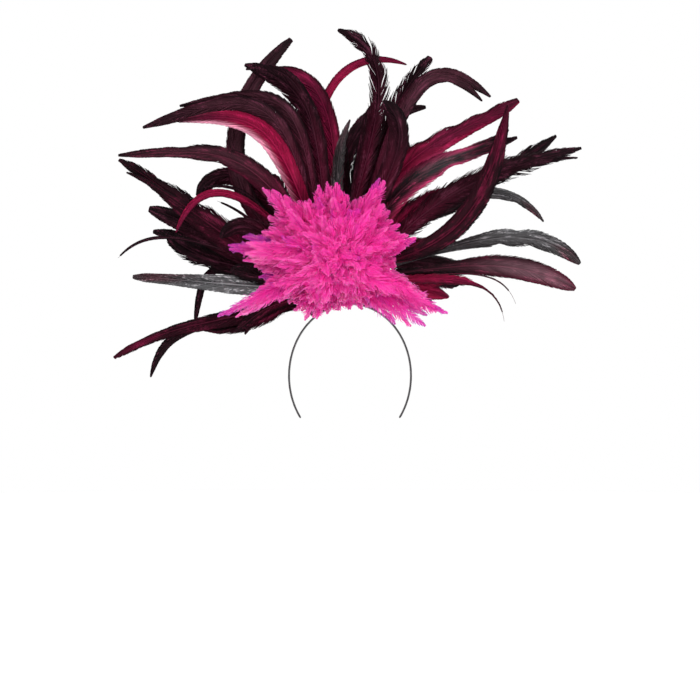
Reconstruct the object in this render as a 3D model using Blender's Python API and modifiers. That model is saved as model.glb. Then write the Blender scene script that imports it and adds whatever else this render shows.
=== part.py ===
"""Carnival feather headdress.

A headband carries a felt-covered pad over the crown. Long tail feathers leave the pad's rim in a
wide fan, and a mound of short hackle feathers covers its front. Blender 4.5, metres, +Z up. The
origin is the point of the headband's inner face that rests on top of the head, and the wearer
faces -Y.
"""
import math
from collections import namedtuple

import bmesh
import bpy
from mathutils import Vector

# Driving dimensions, in metres
FAN_HALF_WIDTH = 0.284
FAN_HEIGHT = 0.332

HEAD_HALF_WIDTH = 0.072
CROWN_RISE = 0.085
BAND_THICKNESS = 0.0022
BAND_TOP_WIDTH = 0.030
BAND_END_WIDTH = 0.013

# The base's middle lies at BASE_SHIFT and BASE_RISE from the origin
BASE_RADIUS = 0.055
BASE_DEPTH = 0.044
BASE_EDGE = 0.003
BASE_SHIFT = -0.010
BASE_RISE = 0.028

# The mound's middle lies at MOUND_SHIFT and MOUND_RISE from the base's
MOUND_RADIUS = 0.092
MOUND_CORE_RADIUS = 0.046
MOUND_CORE_DEPTH = 0.040
MOUND_SHIFT = -0.004
MOUND_RISE = 0.024
MOUND_DEPTH = 0.066
LOCK_WIDTH = 0.031
LOCK_THICKNESS = 0.007

FEATHER_WIDTH = 0.026
QUILL_RADIUS = 0.0012
VANE_THICKNESS = 0.0018

SEAT_GAP = 0.0003

# Angles in degrees: where the band ends, how much more upright a lock starts than it ends, and
# the lean of the mound's outer locks
BAND_END_ANGLE = 126.0
LOCK_BEND = 25.0
EDGE_LEAN = 88.0

# Shares: how fast the feathers' layers part from each other and how that eases off outwards, a
# vane's hollow, the forward lean of the mound's edge, where a lock is rooted in the core, the
# thinning of a quill towards its tip, and the bevel on the band's edges
LAYER_TILT = 0.045
LAYER_EASE = 0.25
VANE_CAMBER = 0.14
MOUND_TILT = 0.26
ROOT_SHARE = 0.35
TIP_THINNING = 0.55
BEVEL_SHARE = 0.35

# Counts
BAND_STATIONS = 32
FEATHER_STATIONS = 12
FEATHER_SIDES = 6
RIM_STEP_DEGREES = 6
CORE_STEPS = 6
CORE_TURNS = 24

# A tail feather leaves the rim at the angle root and flies off at the angle launch. Its tip lies
# at the shares reach and rise of the fan's half width and height, and points along the angle
# heading. Angles run from +X towards +Z. push and draw are the pulls at its two ends, as shares
# of the straight distance. width is a share of FEATHER_WIDTH, and layer counts towards the back.
Feather = namedtuple("Feather", "name root launch reach rise heading push draw width layer vane tone")
FEATHERS = (
    Feather("left_1", 203, 196, -0.85, -0.26, 255, 0.62, 0.35, 0.42, 3, "sickle", "black"),
    Feather("left_2", 197, 204, -1.00, -0.19, 207, 0.40, 0.35, 1.00, 1, "sword", "burgundy"),
    Feather("left_3", 188, 178, -0.91, 0.10, 177, 0.40, 0.35, 0.78, -2, "sickle", "grey"),
    Feather("left_4", 182, 165, -0.66, -0.06, 262, 0.85, 0.60, 0.24, 4, "wisp", "black"),
    Feather("left_5", 177, 166, -0.78, 0.26, 140, 0.50, 0.35, 1.00, 2, "blade", "black"),
    Feather("left_6", 172, 160, -0.98, 0.17, 228, 0.60, 0.28, 0.20, 0, "wisp", "black"),
    Feather("left_7", 168, 178, -0.84, 0.27, 170, 0.35, 0.40, 0.45, 4, "blade", "black"),
    Feather("left_8", 164, 178, -0.85, 0.35, 163, 0.35, 0.40, 0.78, 1, "blade", "black"),
    Feather("left_9", 159, 172, -0.97, 0.52, 152, 0.35, 0.35, 1.02, -3, "sword", "burgundy"),
    Feather("left_10", 154, 140, -0.54, 0.24, 228, 0.60, 0.40, 0.70, -5, "blade", "black"),
    Feather("left_11", 149, 148, -0.25, 0.96, 46, 0.42, 0.50, 0.88, 0, "blade", "black"),
    Feather("left_12", 144, 130, -0.73, 0.26, 250, 0.80, 0.45, 0.36, -1, "sickle", "crimson"),
    Feather("left_13", 139, 121, -0.65, 0.40, 238, 0.75, 0.35, 0.75, 2, "blade", "black"),
    Feather("left_14", 133, 118, -0.97, 0.54, 184, 0.58, 0.45, 0.92, -6, "sword", "burgundy"),
    Feather("left_15", 127, 104, -0.86, 0.63, 202, 0.76, 0.50, 0.76, -4, "sickle", "black"),
    Feather("left_16", 122, 110, -0.71, 0.65, 190, 0.62, 0.50, 0.88, -5, "sword", "crimson"),
    Feather("left_17", 117, 103, -0.71, 0.71, 191, 0.77, 0.50, 0.72, -3, "sickle", "black"),
    Feather("top_1", 112, 102, 0.24, 0.88, -20, 0.75, 0.35, 0.38, 3, "sickle", "crimson"),
    Feather("top_2", 107, 97, -0.44, 0.86, 166, 0.55, 0.40, 0.82, -2, "blade", "black"),
    Feather("top_3", 102, 98, -0.10, 0.56, 95, 0.40, 0.35, 1.00, 5, "blade", "black"),
    Feather("top_4", 97, 90, -0.34, 0.85, 184, 0.55, 0.36, 0.72, 1, "blade", "crimson"),
    Feather("top_5", 92, 95, 0.00, 0.66, 65, 0.40, 0.35, 0.60, -4, "sword", "grey"),
    Feather("top_6", 88, 88, -0.03, 0.60, 80, 0.40, 0.35, 0.90, 4, "blade", "black"),
    Feather("top_7", 84, 76, -0.05, 0.99, 158, 0.60, 0.35, 0.55, -1, "sickle", "black"),
    Feather("top_8", 80.5, 75, 0.10, 0.74, 80, 0.40, 0.35, 0.85, 4, "blade", "black"),
    Feather("right_1", 77, 74, 0.34, 0.90, 50, 0.50, 0.35, 0.60, 1, "sickle", "black"),
    Feather("top_9", 74, 66, 0.17, 0.70, 100, 0.45, 0.35, 1.00, 6, "blade", "black"),
    Feather("right_2", 70.5, 62, 0.14, 0.73, 140, 0.60, 0.30, 1.00, -3, "blade", "black"),
    Feather("right_3", 67, 74, 0.59, 0.75, -39, 0.80, 0.45, 0.68, -1, "sickle", "black"),
    Feather("right_4", 62, 70, 0.32, 0.72, 5, 0.60, 0.40, 0.35, 2, "sickle", "black"),
    Feather("right_5", 57, 64, 0.71, 0.74, 30, 0.45, 0.35, 1.12, 0, "blade", "burgundy"),
    Feather("right_6", 51, 56, 0.70, 0.60, 18, 0.40, 0.40, 0.78, -2, "sickle", "burgundy"),
    Feather("right_14", 48, 44, 0.55, 0.42, 5, 0.50, 0.40, 0.90, 2, "blade", "crimson"),
    Feather("right_7", 44, 40, 0.83, 0.31, -55, 0.50, 0.35, 0.40, 5, "sickle", "grey"),
    Feather("right_8", 38, 38, 0.88, 0.62, 40, 0.35, 0.30, 0.80, 3, "sickle", "black"),
    Feather("right_9", 32, 34, 0.98, 0.57, 14, 0.40, 0.35, 0.95, 1, "sword", "black"),
    Feather("right_10", 25, 12, 0.66, 0.71, 79, 0.46, 0.40, 0.88, -3, "sword", "crimson"),
    Feather("right_11", 17, 18, 0.97, 0.15, -28, 0.45, 0.40, 0.65, 0, "sickle", "grey"),
    Feather("right_12", 9, 8, 0.96, 0.06, -28, 0.45, 0.35, 0.85, 3, "blade", "burgundy"),
    Feather("right_13", 1, 4, 0.65, -0.06, 278, 0.60, 0.35, 0.62, -1, "sickle", "crimson"),
    Feather("right_15", -7, -3, 0.42, 0.03, -20, 0.45, 0.35, 0.90, 4, "blade", "burgundy"),
)

# Half width of a vane along its feather, as shares of the length and of half its width
VANES = {
    "blade": ((0.0, 0.0), (0.08, 0.0), (0.22, 0.55), (0.38, 0.90), (0.60, 1.0), (0.80, 0.92),
              (0.92, 0.66), (1.0, 0.10)),
    "sword": ((0.0, 0.0), (0.08, 0.0), (0.22, 0.55), (0.40, 0.95), (0.52, 1.0), (0.72, 0.74),
              (0.88, 0.40), (1.0, 0.06)),
    "sickle": ((0.0, 0.0), (0.10, 0.0), (0.26, 0.60), (0.45, 0.95), (0.60, 1.0), (0.80, 0.80),
               (0.93, 0.44), (1.0, 0.08)),
    "wisp": ((0.0, 0.0), (0.12, 0.3), (0.40, 0.9), (0.70, 1.0), (0.90, 0.7), (1.0, 0.2)),
}

# How far the mound's outer locks reach at each angle, as a share of MOUND_RADIUS
MoundEdge = namedtuple("MoundEdge", "angle reach")
MOUND_EDGE = (
    MoundEdge(-154, 1.30), MoundEdge(-139, 0.80), MoundEdge(-120, 0.62), MoundEdge(-100, 0.60),
    MoundEdge(-80, 0.62), MoundEdge(-58, 0.68), MoundEdge(-40, 0.86), MoundEdge(-27, 1.50),
    MoundEdge(-12, 0.80), MoundEdge(2, 0.74), MoundEdge(16, 1.04), MoundEdge(30, 0.92),
    MoundEdge(44, 0.92), MoundEdge(60, 1.18), MoundEdge(76, 0.80), MoundEdge(91, 1.00),
    MoundEdge(105, 1.00), MoundEdge(119, 0.88), MoundEdge(133, 1.24), MoundEdge(148, 1.06),
    MoundEdge(164, 1.12), MoundEdge(179, 1.42), MoundEdge(193, 1.12),
)

# Rows of locks between the mound's centre and its edge: how many, how far each lock leans from
# the wearer's front, its reach as a share of the edge's, and the angle of the row's first lock
LockRow = namedtuple("LockRow", "count lean reach turn")
LOCK_ROWS = (
    LockRow(1, 4, 0.0, 0),
    LockRow(6, 34, 0.50, 10),
    LockRow(11, 54, 0.72, 0),
    LockRow(15, 68, 0.88, 8),
    LockRow(19, 80, 0.94, 4),
)

# Places along a lock and its width there, as shares
LOCK_SHAPE = ((0.0, 0.45), (0.25, 0.80), (0.50, 1.0), (0.72, 0.86), (0.89, 0.50), (1.0, 0.06))

# Colour, roughness and metallic value of each finish
Finish = namedtuple("Finish", "color roughness metallic")
FINISHES = {
    "black": Finish((0.018, 0.014, 0.016), 0.45, 0.0),
    "burgundy": Finish((0.120, 0.012, 0.022), 0.50, 0.0),
    "crimson": Finish((0.300, 0.012, 0.030), 0.50, 0.0),
    "grey": Finish((0.060, 0.056, 0.060), 0.38, 0.0),
    "pink": Finish((0.850, 0.030, 0.270), 0.70, 0.0),
    "felt": Finish((0.015, 0.013, 0.014), 0.95, 0.0),
    "satin": Finish((0.012, 0.011, 0.012), 0.40, 0.0),
}


def remove_everything():
    """Empties the scene."""
    for obj in list(bpy.data.objects):
        bpy.data.objects.remove(obj, do_unlink=True)


def new_collection(name):
    """A collection under the scene's own."""
    collection = bpy.data.collections.new(name)
    bpy.context.scene.collection.children.link(collection)
    return collection


def add_object(name, mesh, collection, finish=None):
    """An object for a mesh, with a material of its own if a finish is given."""
    obj = bpy.data.objects.new(name, mesh)
    collection.objects.link(obj)
    if finish:
        values = FINISHES[finish]
        material = bpy.data.materials.new(name + "_finish")
        material.use_nodes = True
        shader = material.node_tree.nodes["Principled BSDF"]
        shader.inputs["Base Color"].default_value = (*values.color, 1.0)
        shader.inputs["Roughness"].default_value = values.roughness
        shader.inputs["Metallic"].default_value = values.metallic
        material.diffuse_color = (*values.color, 1.0)
        mesh.materials.append(material)
    return obj


def mesh_from(name, bm):
    """A smooth-shaded mesh from a bmesh."""
    mesh = bpy.data.meshes.new(name)
    bm.to_mesh(mesh)
    bm.free()
    mesh.shade_smooth()
    mesh.set_sharp_from_angle(angle=math.radians(50))
    return mesh


def loft(name, rings):
    """A closed mesh through rings that have the same number of points."""
    bm = bmesh.new()
    rows = [[bm.verts.new(point) for point in ring] for ring in rings]
    for near, far in zip(rows, rows[1:]):
        for i in range(len(near)):
            j = (i + 1) % len(near)
            bm.faces.new((near[i], near[j], far[j], far[i]))
    bm.faces.new(rows[0])
    bm.faces.new(rows[-1])
    bmesh.ops.recalc_face_normals(bm, faces=bm.faces)
    return mesh_from(name, bm)


def direction(degrees):
    """The unit vector at an angle in the fan's plane, from +X towards +Z."""
    angle = math.radians(degrees)
    return Vector((math.cos(angle), 0.0, math.sin(angle)))


def between(table, share):
    """Reads a table of pairs at a share, straight between its rows."""
    for (start, low), (end, high) in zip(table, table[1:]):
        if share <= end:
            return low + (high - low) * (share - start) / (end - start)
    return table[-1][1]


# Headband


def band_point(angle, offset):
    """A point at an angle from the top of the band, at an offset out from its inner face."""
    turn = math.radians(angle)
    across = (HEAD_HALF_WIDTH + offset) * math.sin(turn)
    up = (CROWN_RISE + offset) * math.cos(turn) - CROWN_RISE
    return across, up


def make_headband(collection):
    """A strip bent over the head, narrower at its ends, which turn in behind the ears."""
    bm = bmesh.new()
    bmesh.ops.create_grid(bm, x_segments=BAND_STATIONS, y_segments=2, size=1.0)
    for vert in bm.verts:
        along, side = vert.co.x, vert.co.y
        width = BAND_TOP_WIDTH + (BAND_END_WIDTH - BAND_TOP_WIDTH) * along * along
        across, up = band_point(along * BAND_END_ANGLE, 0.0)
        vert.co = (across, side * width / 2, up)
    obj = add_object("headband", mesh_from("headband", bm), collection, "satin")
    shell = obj.modifiers.new("thickness", "SOLIDIFY")
    shell.thickness = BAND_THICKNESS
    shell.offset = 1.0
    shell.use_even_offset = True
    edges = obj.modifiers.new("edges", "BEVEL")
    edges.width = BAND_THICKNESS * BEVEL_SHARE
    edges.segments = 1
    edges.limit_method = "ANGLE"
    edges.angle_limit = math.radians(60)
    return obj


# Feather base


def base_centre():
    """The middle of the base's rim."""
    return Vector((BASE_SHIFT, 0.0, BASE_RISE))


def base_outline():
    """The rim's arc, closed below by an arc that follows the band."""
    centre = base_centre()
    clearance = BAND_THICKNESS + SEAT_GAP
    rim = []
    for step in range(0, 360, RIM_STEP_DEGREES):
        point = centre + direction(step) * BASE_RADIUS
        across = point.x / (HEAD_HALF_WIDTH + clearance)
        if abs(across) < 1.0:
            _, floor = band_point(math.degrees(math.asin(across)), clearance)
            point.z = max(point.z, floor)
        rim.append(point)
    return rim


def make_feather_base(collection):
    """A felt-covered pad that stands on the band and holds every quill in its rim."""
    curve = bpy.data.curves.new("feather_base_outline", "CURVE")
    curve.dimensions = "2D"
    curve.fill_mode = "BOTH"
    curve.extrude = BASE_DEPTH / 2
    points = base_outline()
    spline = curve.splines.new("POLY")
    spline.points.add(len(points) - 1)
    for target, point in zip(spline.points, points):
        target.co = (point.x, point.z, 0.0, 1.0)
    spline.use_cyclic_u = True
    obj = add_object("feather_base", curve, collection, "felt")
    obj.rotation_euler.x = math.radians(90)
    weld = obj.modifiers.new("weld", "WELD")
    weld.merge_threshold = 0.00001
    edges = obj.modifiers.new("edges", "BEVEL")
    edges.width = BASE_EDGE
    edges.segments = 2
    edges.limit_method = "ANGLE"
    edges.angle_limit = math.radians(60)
    return obj


# Tail feathers


def layer_depth(layer, radius):
    """How far back a layer lies at a distance from the base's centre."""
    reach = math.hypot(FAN_HALF_WIDTH, FAN_HEIGHT)
    return layer * LAYER_TILT * radius * (1.0 - LAYER_EASE * radius / reach)


def on_layer(point, layer):
    """Moves a point along Y to its layer's surface."""
    centre = base_centre()
    radius = math.hypot(point.x - centre.x, point.z - centre.z)
    return Vector((point.x, layer_depth(layer, radius), point.z))


def layer_normal(point, layer):
    """The layer's unit normal at a point, towards the wearer's front."""
    step = QUILL_RADIUS
    here = on_layer(point, layer)
    along_x = on_layer(point + Vector((step, 0.0, 0.0)), layer) - here
    along_z = on_layer(point + Vector((0.0, 0.0, step)), layer) - here
    return along_x.cross(along_z).normalized()


def shaft(row):
    """The four control points of a feather's shaft, in the fan's plane."""
    slant = abs(math.sin(math.radians(row.launch - row.root))) + abs(row.layer) * LAYER_TILT
    start = base_centre() + direction(row.root) * (BASE_RADIUS + SEAT_GAP + QUILL_RADIUS * slant)
    tip = Vector((row.reach * FAN_HALF_WIDTH, 0.0, row.rise * FAN_HEIGHT))
    span = (tip - start).length
    return (start, start + direction(row.launch) * span * row.push,
            tip - direction(row.heading) * span * row.draw, tip)


def shaft_point(controls, t):
    """A point on a cubic curve."""
    a, b, c, d = controls
    s = 1.0 - t
    return a * s ** 3 + b * 3 * s * s * t + c * 3 * s * t * t + d * t ** 3


def feather_rings(row):
    """Six-sided rings along a feather: round at the quill, then flat and slightly hollow."""
    controls = shaft(row)
    half = row.width * FEATHER_WIDTH / 2
    flat = VANE_THICKNESS / 2
    step = 1.0 / (FEATHER_STATIONS - 1)
    rings = []
    for i in range(FEATHER_STATIONS):
        t = i * step
        point = on_layer(shaft_point(controls, t), row.layer)
        before = on_layer(shaft_point(controls, max(t - step / 10, 0.0)), row.layer)
        after = on_layer(shaft_point(controls, min(t + step / 10, 1.0)), row.layer)
        along = (after - before).normalized()
        side = along.cross(layer_normal(point, row.layer)).normalized()
        front = side.cross(along).normalized()
        spread = between(VANES[row.vane], t) * half
        thinning = 1.0 - TIP_THINNING * t
        wide = max(spread, QUILL_RADIUS * thinning)
        vane_share = min(1.0, 2.0 * spread / half)
        thick = (QUILL_RADIUS + (flat - QUILL_RADIUS) * vane_share) * thinning
        ring = []
        for k in range(FEATHER_SIDES):
            turn = math.tau * k / FEATHER_SIDES
            across = math.cos(turn)
            hollow = VANE_CAMBER * spread * across * across
            ring.append(point + side * wide * across + front * (thick * math.sin(turn) - hollow))
        rings.append(ring)
    return rings


def make_feathers(collection):
    """One solid for each row of the table."""
    for row in FEATHERS:
        name = "feather_" + row.name
        add_object(name, loft(name, feather_rings(row)), collection, row.tone)


# Hackle mound


def mound_centre():
    """The middle of the mound's back, seated on the base's front face."""
    return base_centre() + Vector((MOUND_SHIFT, -(BASE_DEPTH / 2 + SEAT_GAP), MOUND_RISE))


def edge_reach(angle):
    """The mound's reach at an angle, straight between the rows of its edge."""
    first = MOUND_EDGE[0]
    turned = (angle - first.angle) % 360 + first.angle
    table = [(row.angle, row.reach) for row in MOUND_EDGE] + [(first.angle + 360, first.reach)]
    return between(table, turned) * MOUND_RADIUS


def lock_rings(angle, lean, reach):
    """Four-sided rings along a lock that is rooted in the core and bends outwards."""
    outward = direction(angle)
    side = direction(angle + 90)
    front = Vector((0.0, -1.0, 0.0))
    tilt = math.radians(lean)
    spread = max(0.0, reach - BASE_RADIUS)
    root = mound_centre() + outward * MOUND_CORE_RADIUS * ROOT_SHARE * math.sin(tilt)
    root += front * LOCK_THICKNESS
    rise = MOUND_DEPTH * math.cos(tilt) + LOCK_THICKNESS + MOUND_TILT * spread
    tip = mound_centre() + outward * reach + front * rise
    bend = math.radians(max(lean - LOCK_BEND, 0.0))
    middle = root + (outward * math.sin(bend) + front * math.cos(bend)) * (tip - root).length / 2
    rings = []
    for along, width in LOCK_SHAPE:
        near = root.lerp(middle, along)
        far = middle.lerp(tip, along)
        point = near.lerp(far, along)
        flat = side.cross(far - near).normalized()
        wide = LOCK_WIDTH / 2 * width
        thick = LOCK_THICKNESS / 2 * width
        rings.append([point + side * wide, point + flat * thick, point - side * wide,
                      point - flat * thick])
    return rings


def all_locks():
    """The angle, lean and reach of every lock, row by row from the mound's centre outwards."""
    for row in LOCK_ROWS:
        for i in range(row.count):
            angle = row.turn + 360 * i / row.count
            yield angle, row.lean, edge_reach(angle) * row.reach
    for edge in MOUND_EDGE:
        yield edge.angle, EDGE_LEAN, edge.reach * MOUND_RADIUS


def make_mound(pieces, cutters):
    """A turned dome with a lock of hackle fused on for each place in the rows."""
    bm = bmesh.new()
    profile = [Vector((0.0, 0.0, 0.0))]
    for step in range(CORE_STEPS + 1):
        turn = math.pi / 2 * step / CORE_STEPS
        profile.append(Vector((MOUND_CORE_RADIUS * math.cos(turn),
                               -MOUND_CORE_DEPTH * math.sin(turn), 0.0)))
    verts = [bm.verts.new(point) for point in profile]
    for near, far in zip(verts, verts[1:]):
        bm.edges.new((near, far))
    mesh = bpy.data.meshes.new("hackle_mound")
    bm.to_mesh(mesh)
    bm.free()
    obj = add_object("hackle_mound", mesh, pieces, "pink")
    obj.location = mound_centre()
    turned = obj.modifiers.new("turned", "SCREW")
    turned.axis = "Y"
    turned.steps = CORE_TURNS
    turned.render_steps = CORE_TURNS
    turned.use_merge_vertices = True
    turned.merge_threshold = 0.00001
    turned.use_normal_calculate = True
    for i, (angle, lean, reach) in enumerate(all_locks()):
        name = f"lock_{i:02d}"
        lock = add_object(name, loft(name, lock_rings(angle, lean, reach)), cutters)
        lock.hide_render = True
        lock.display_type = "WIRE"
    fused = obj.modifiers.new("locks", "BOOLEAN")
    fused.operation = "UNION"
    fused.operand_type = "COLLECTION"
    fused.collection = cutters
    fused.solver = "EXACT"
    return obj


def main():
    """Builds every piece of the headdress."""
    remove_everything()
    pieces = new_collection("carnival_feather_headdress")
    cutters = new_collection("cutters")
    make_headband(pieces)
    make_feather_base(pieces)
    make_mound(pieces, cutters)
    make_feathers(pieces)


main()
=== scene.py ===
"""Looks of the carnival feather headdress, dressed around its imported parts.

Every long feather becomes a shaft with hundreds of separate barbs, the mound becomes overlapping
rows of fluffy hackles, and the band and the pad get their covers. Metres, +Z up. The origin is
the point of the headband's inner face that rests on top of the head, and the wearer faces -Y.
"""

import logging
import math
from dataclasses import dataclass, field
from enum import Enum
from typing import Iterable, Iterator, NamedTuple, Union

import bmesh
import bpy
import numpy as np
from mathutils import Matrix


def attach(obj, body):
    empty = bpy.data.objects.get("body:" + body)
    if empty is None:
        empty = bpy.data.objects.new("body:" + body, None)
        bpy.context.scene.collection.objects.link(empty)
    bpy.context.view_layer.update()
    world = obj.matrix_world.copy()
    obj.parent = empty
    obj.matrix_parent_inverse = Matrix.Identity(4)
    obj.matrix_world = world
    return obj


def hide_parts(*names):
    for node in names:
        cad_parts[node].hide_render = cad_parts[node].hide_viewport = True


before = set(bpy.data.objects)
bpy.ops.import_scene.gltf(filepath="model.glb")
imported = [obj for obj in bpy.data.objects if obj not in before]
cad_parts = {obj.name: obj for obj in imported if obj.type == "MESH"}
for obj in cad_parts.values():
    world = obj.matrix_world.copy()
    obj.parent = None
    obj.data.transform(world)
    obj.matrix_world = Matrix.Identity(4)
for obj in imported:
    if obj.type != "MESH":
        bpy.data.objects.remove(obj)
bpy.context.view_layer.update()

LOG = logging.getLogger("headdress")
ROOT_BODY = "root"
FRONT = np.array((0.0, -1.0, 0.0))

Color = tuple[float, float, float]


class Dye(Enum):
    """Colours of the feathers and covers, as linear red, green and blue; some are partly painted light, as
    marked.
    """

    INK = (0.0042, 0.0018, 0.0028)
    WINE = (0.014, 0.0010, 0.0040)
    BURGUNDY = (0.058, 0.0016, 0.013)
    CRIMSON = (0.170, 0.0028, 0.026)
    DUSK = (0.032, 0.0085, 0.014)
    HEATHER = (0.088, 0.040, 0.052)
    # PETAL and ROSE: pale pinks on thin vane edges, painted light shining through them
    PETAL = (0.300, 0.030, 0.090)
    ROSE = (0.600, 0.240, 0.340)
    ASH = (0.026, 0.024, 0.026)
    # SILVER: grey feather colour, partly painted sheen of black feathers
    SILVER = (0.078, 0.076, 0.080)
    HOT_PINK = (0.930, 0.016, 0.280)
    CANDY = (0.960, 0.036, 0.370)
    MAGENTA = (0.640, 0.016, 0.330)
    # VIOLET: violet tips at the mound's edge, partly dyed and partly painted shade
    VIOLET = (0.230, 0.012, 0.300)


class Hand(Enum):
    """The two halves of a vane, as seen when looking along the shaft from the front."""

    RIGHT = 1.0
    LEFT = -1.0

    @property
    def label(self) -> str:
        """The word that this hand's attributes carry."""
        return self.name.lower()


# Small tools for node trees


class Wire:
    """A node's output, used in Python expressions that add the nodes they need."""

    def __init__(self, graph: "Graph", socket: bpy.types.NodeSocket) -> None:
        """Wraps a socket of the graph's tree."""
        self.graph = graph
        self.socket = socket

    def math(self, operation: str, *values: "Value") -> "Wire":
        """Adds a Math or Vector Math node, whichever suits the values.

        Args:
            operation: The node's operation.
            values: What goes into its sockets, in order.

        Returns:
            The node's first output.
        """
        kinds = [v.socket.type for v in values if isinstance(v, Wire)]
        if "VECTOR" in kinds or "RGBA" in kinds:
            spread = [(v, v, v) if isinstance(v, (int, float)) else v for v in values]
            sockets = dict(enumerate(spread))
            return self.graph.node("ShaderNodeVectorMath", {"operation": operation}, sockets)
        return self.graph.node("ShaderNodeMath", {"operation": operation}, dict(enumerate(values)))

    def __add__(self, other: "Value") -> "Wire":
        """Sum."""
        return self.math("ADD", self, other)

    def __radd__(self, other: "Value") -> "Wire":
        """Sum with a value on the left."""
        return self.math("ADD", other, self)

    def __sub__(self, other: "Value") -> "Wire":
        """Difference."""
        return self.math("SUBTRACT", self, other)

    def __rsub__(self, other: "Value") -> "Wire":
        """Difference with a value on the left."""
        return self.math("SUBTRACT", other, self)

    def __mul__(self, other: "Value") -> "Wire":
        """Product."""
        return self.math("MULTIPLY", self, other)

    def __rmul__(self, other: "Value") -> "Wire":
        """Product with a value on the left."""
        return self.math("MULTIPLY", other, self)

    def __truediv__(self, other: "Value") -> "Wire":
        """Quotient."""
        return self.math("DIVIDE", self, other)

    def __rtruediv__(self, other: "Value") -> "Wire":
        """Quotient with a value on the left."""
        return self.math("DIVIDE", other, self)

    def sine(self) -> "Wire":
        """Sine of an angle."""
        return self.math("SINE", self)

    def dot(self, other: "Value") -> "Wire":
        """Dot product of two vectors."""
        sockets = {0: self, 1: other}
        return self.graph.node("ShaderNodeVectorMath", {"operation": "DOT_PRODUCT"}, sockets, 1)


Value = Union[Wire, float, tuple, str, bpy.types.Material]


class Graph:
    """Adds nodes to a node tree and links them."""

    def __init__(self, tree: bpy.types.NodeTree) -> None:
        """Starts on a tree."""
        self.tree = tree

    def node(self, kind: str, settings: dict | None = None, sockets: dict | None = None,
             output: int | str = 0) -> Wire:
        """Adds a node.

        Args:
            kind: The node's type.
            settings: Its properties, set first.
            sockets: Values or wires for its inputs, by name or index. A list joins several.
            output: Which output is wanted.

        Returns:
            That output.
        """
        made = self.tree.nodes.new(kind)
        for key, value in (settings or {}).items():
            setattr(made, key, value)
        for key, value in (sockets or {}).items():
            for one in value if isinstance(value, list) else [value]:
                self.plug(made.inputs[key], one)
        return Wire(self, made.outputs[output]) if len(made.outputs) else Wire(self, None)

    def plug(self, socket: bpy.types.NodeSocket, value: Value) -> None:
        """Links a wire to an input, or sets the input's own value.

        Args:
            socket: The input.
            value: A wire or a plain value.
        """
        if isinstance(value, Wire):
            self.tree.links.new(value.socket, socket)
        elif isinstance(value, tuple) and socket.type == "RGBA":
            socket.default_value = (*value[:3], 1.0)
        else:
            socket.default_value = value

    def place(self) -> Wire:
        """Where a point lies on its piece."""
        return self.node("ShaderNodeTexCoord", None, None, "Object")

    def attribute(self, name: str, output: str = "Color") -> Wire:
        """An attribute of the surface, as a colour or, from output Fac, as a number."""
        return self.node("ShaderNodeAttribute", {"attribute_name": name}, None, output)

    def bump(self, height: Wire, strength: float, distance: float) -> Wire:
        """The normals of a fine relief."""
        sockets = {"Height": height, "Strength": strength, "Distance": distance}
        return self.node("ShaderNodeBump", None, sockets)

    def noise(self, place: Wire, scale: float, detail: float = 2.0, rough: float = 0.5) -> Wire:
        """A noise of about 0 to 1 at a place, finer as scale grows."""
        sockets = {"Vector": place, "Scale": scale, "Detail": detail, "Roughness": rough}
        return self.node("ShaderNodeTexNoise", {"noise_dimensions": "3D"}, sockets)

    def blend(self, factor: Value, first: Value, second: Value) -> Wire:
        """Mixes two colours."""
        settings = {"data_type": "RGBA", "clamp_factor": True}
        return self.node("ShaderNodeMix", settings, {0: factor, 6: first, 7: second}, 2)

    def steps(self, value: Value, low: float, high: float) -> Wire:
        """A smooth step from 0 at low to 1 at high."""
        sockets = {"Value": value, "From Min": low, "From Max": high}
        return self.node("ShaderNodeMapRange", {"interpolation_type": "SMOOTHSTEP"}, sockets)


# Finishes


def new_material(name: str) -> tuple[bpy.types.Material, Graph]:
    """An empty node material and the graph that fills it.

    Args:
        name: The material's name.

    Returns:
        The material and its graph.
    """
    material = bpy.data.materials.new(name)
    material.use_nodes = True
    material.node_tree.nodes.clear()
    return material, Graph(material.node_tree)


def principled(graph: Graph, varying: dict, constants: dict) -> None:
    """Ends a material in a Principled shader.

    Args:
        graph: The material's graph.
        varying: Wires for the sockets that change over the surface.
        constants: Values set on the shader's own sockets.
    """
    shader = graph.node("ShaderNodeBsdfPrincipled", None, {**constants, **varying})
    graph.node("ShaderNodeOutputMaterial", None, {"Surface": shader})


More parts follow.
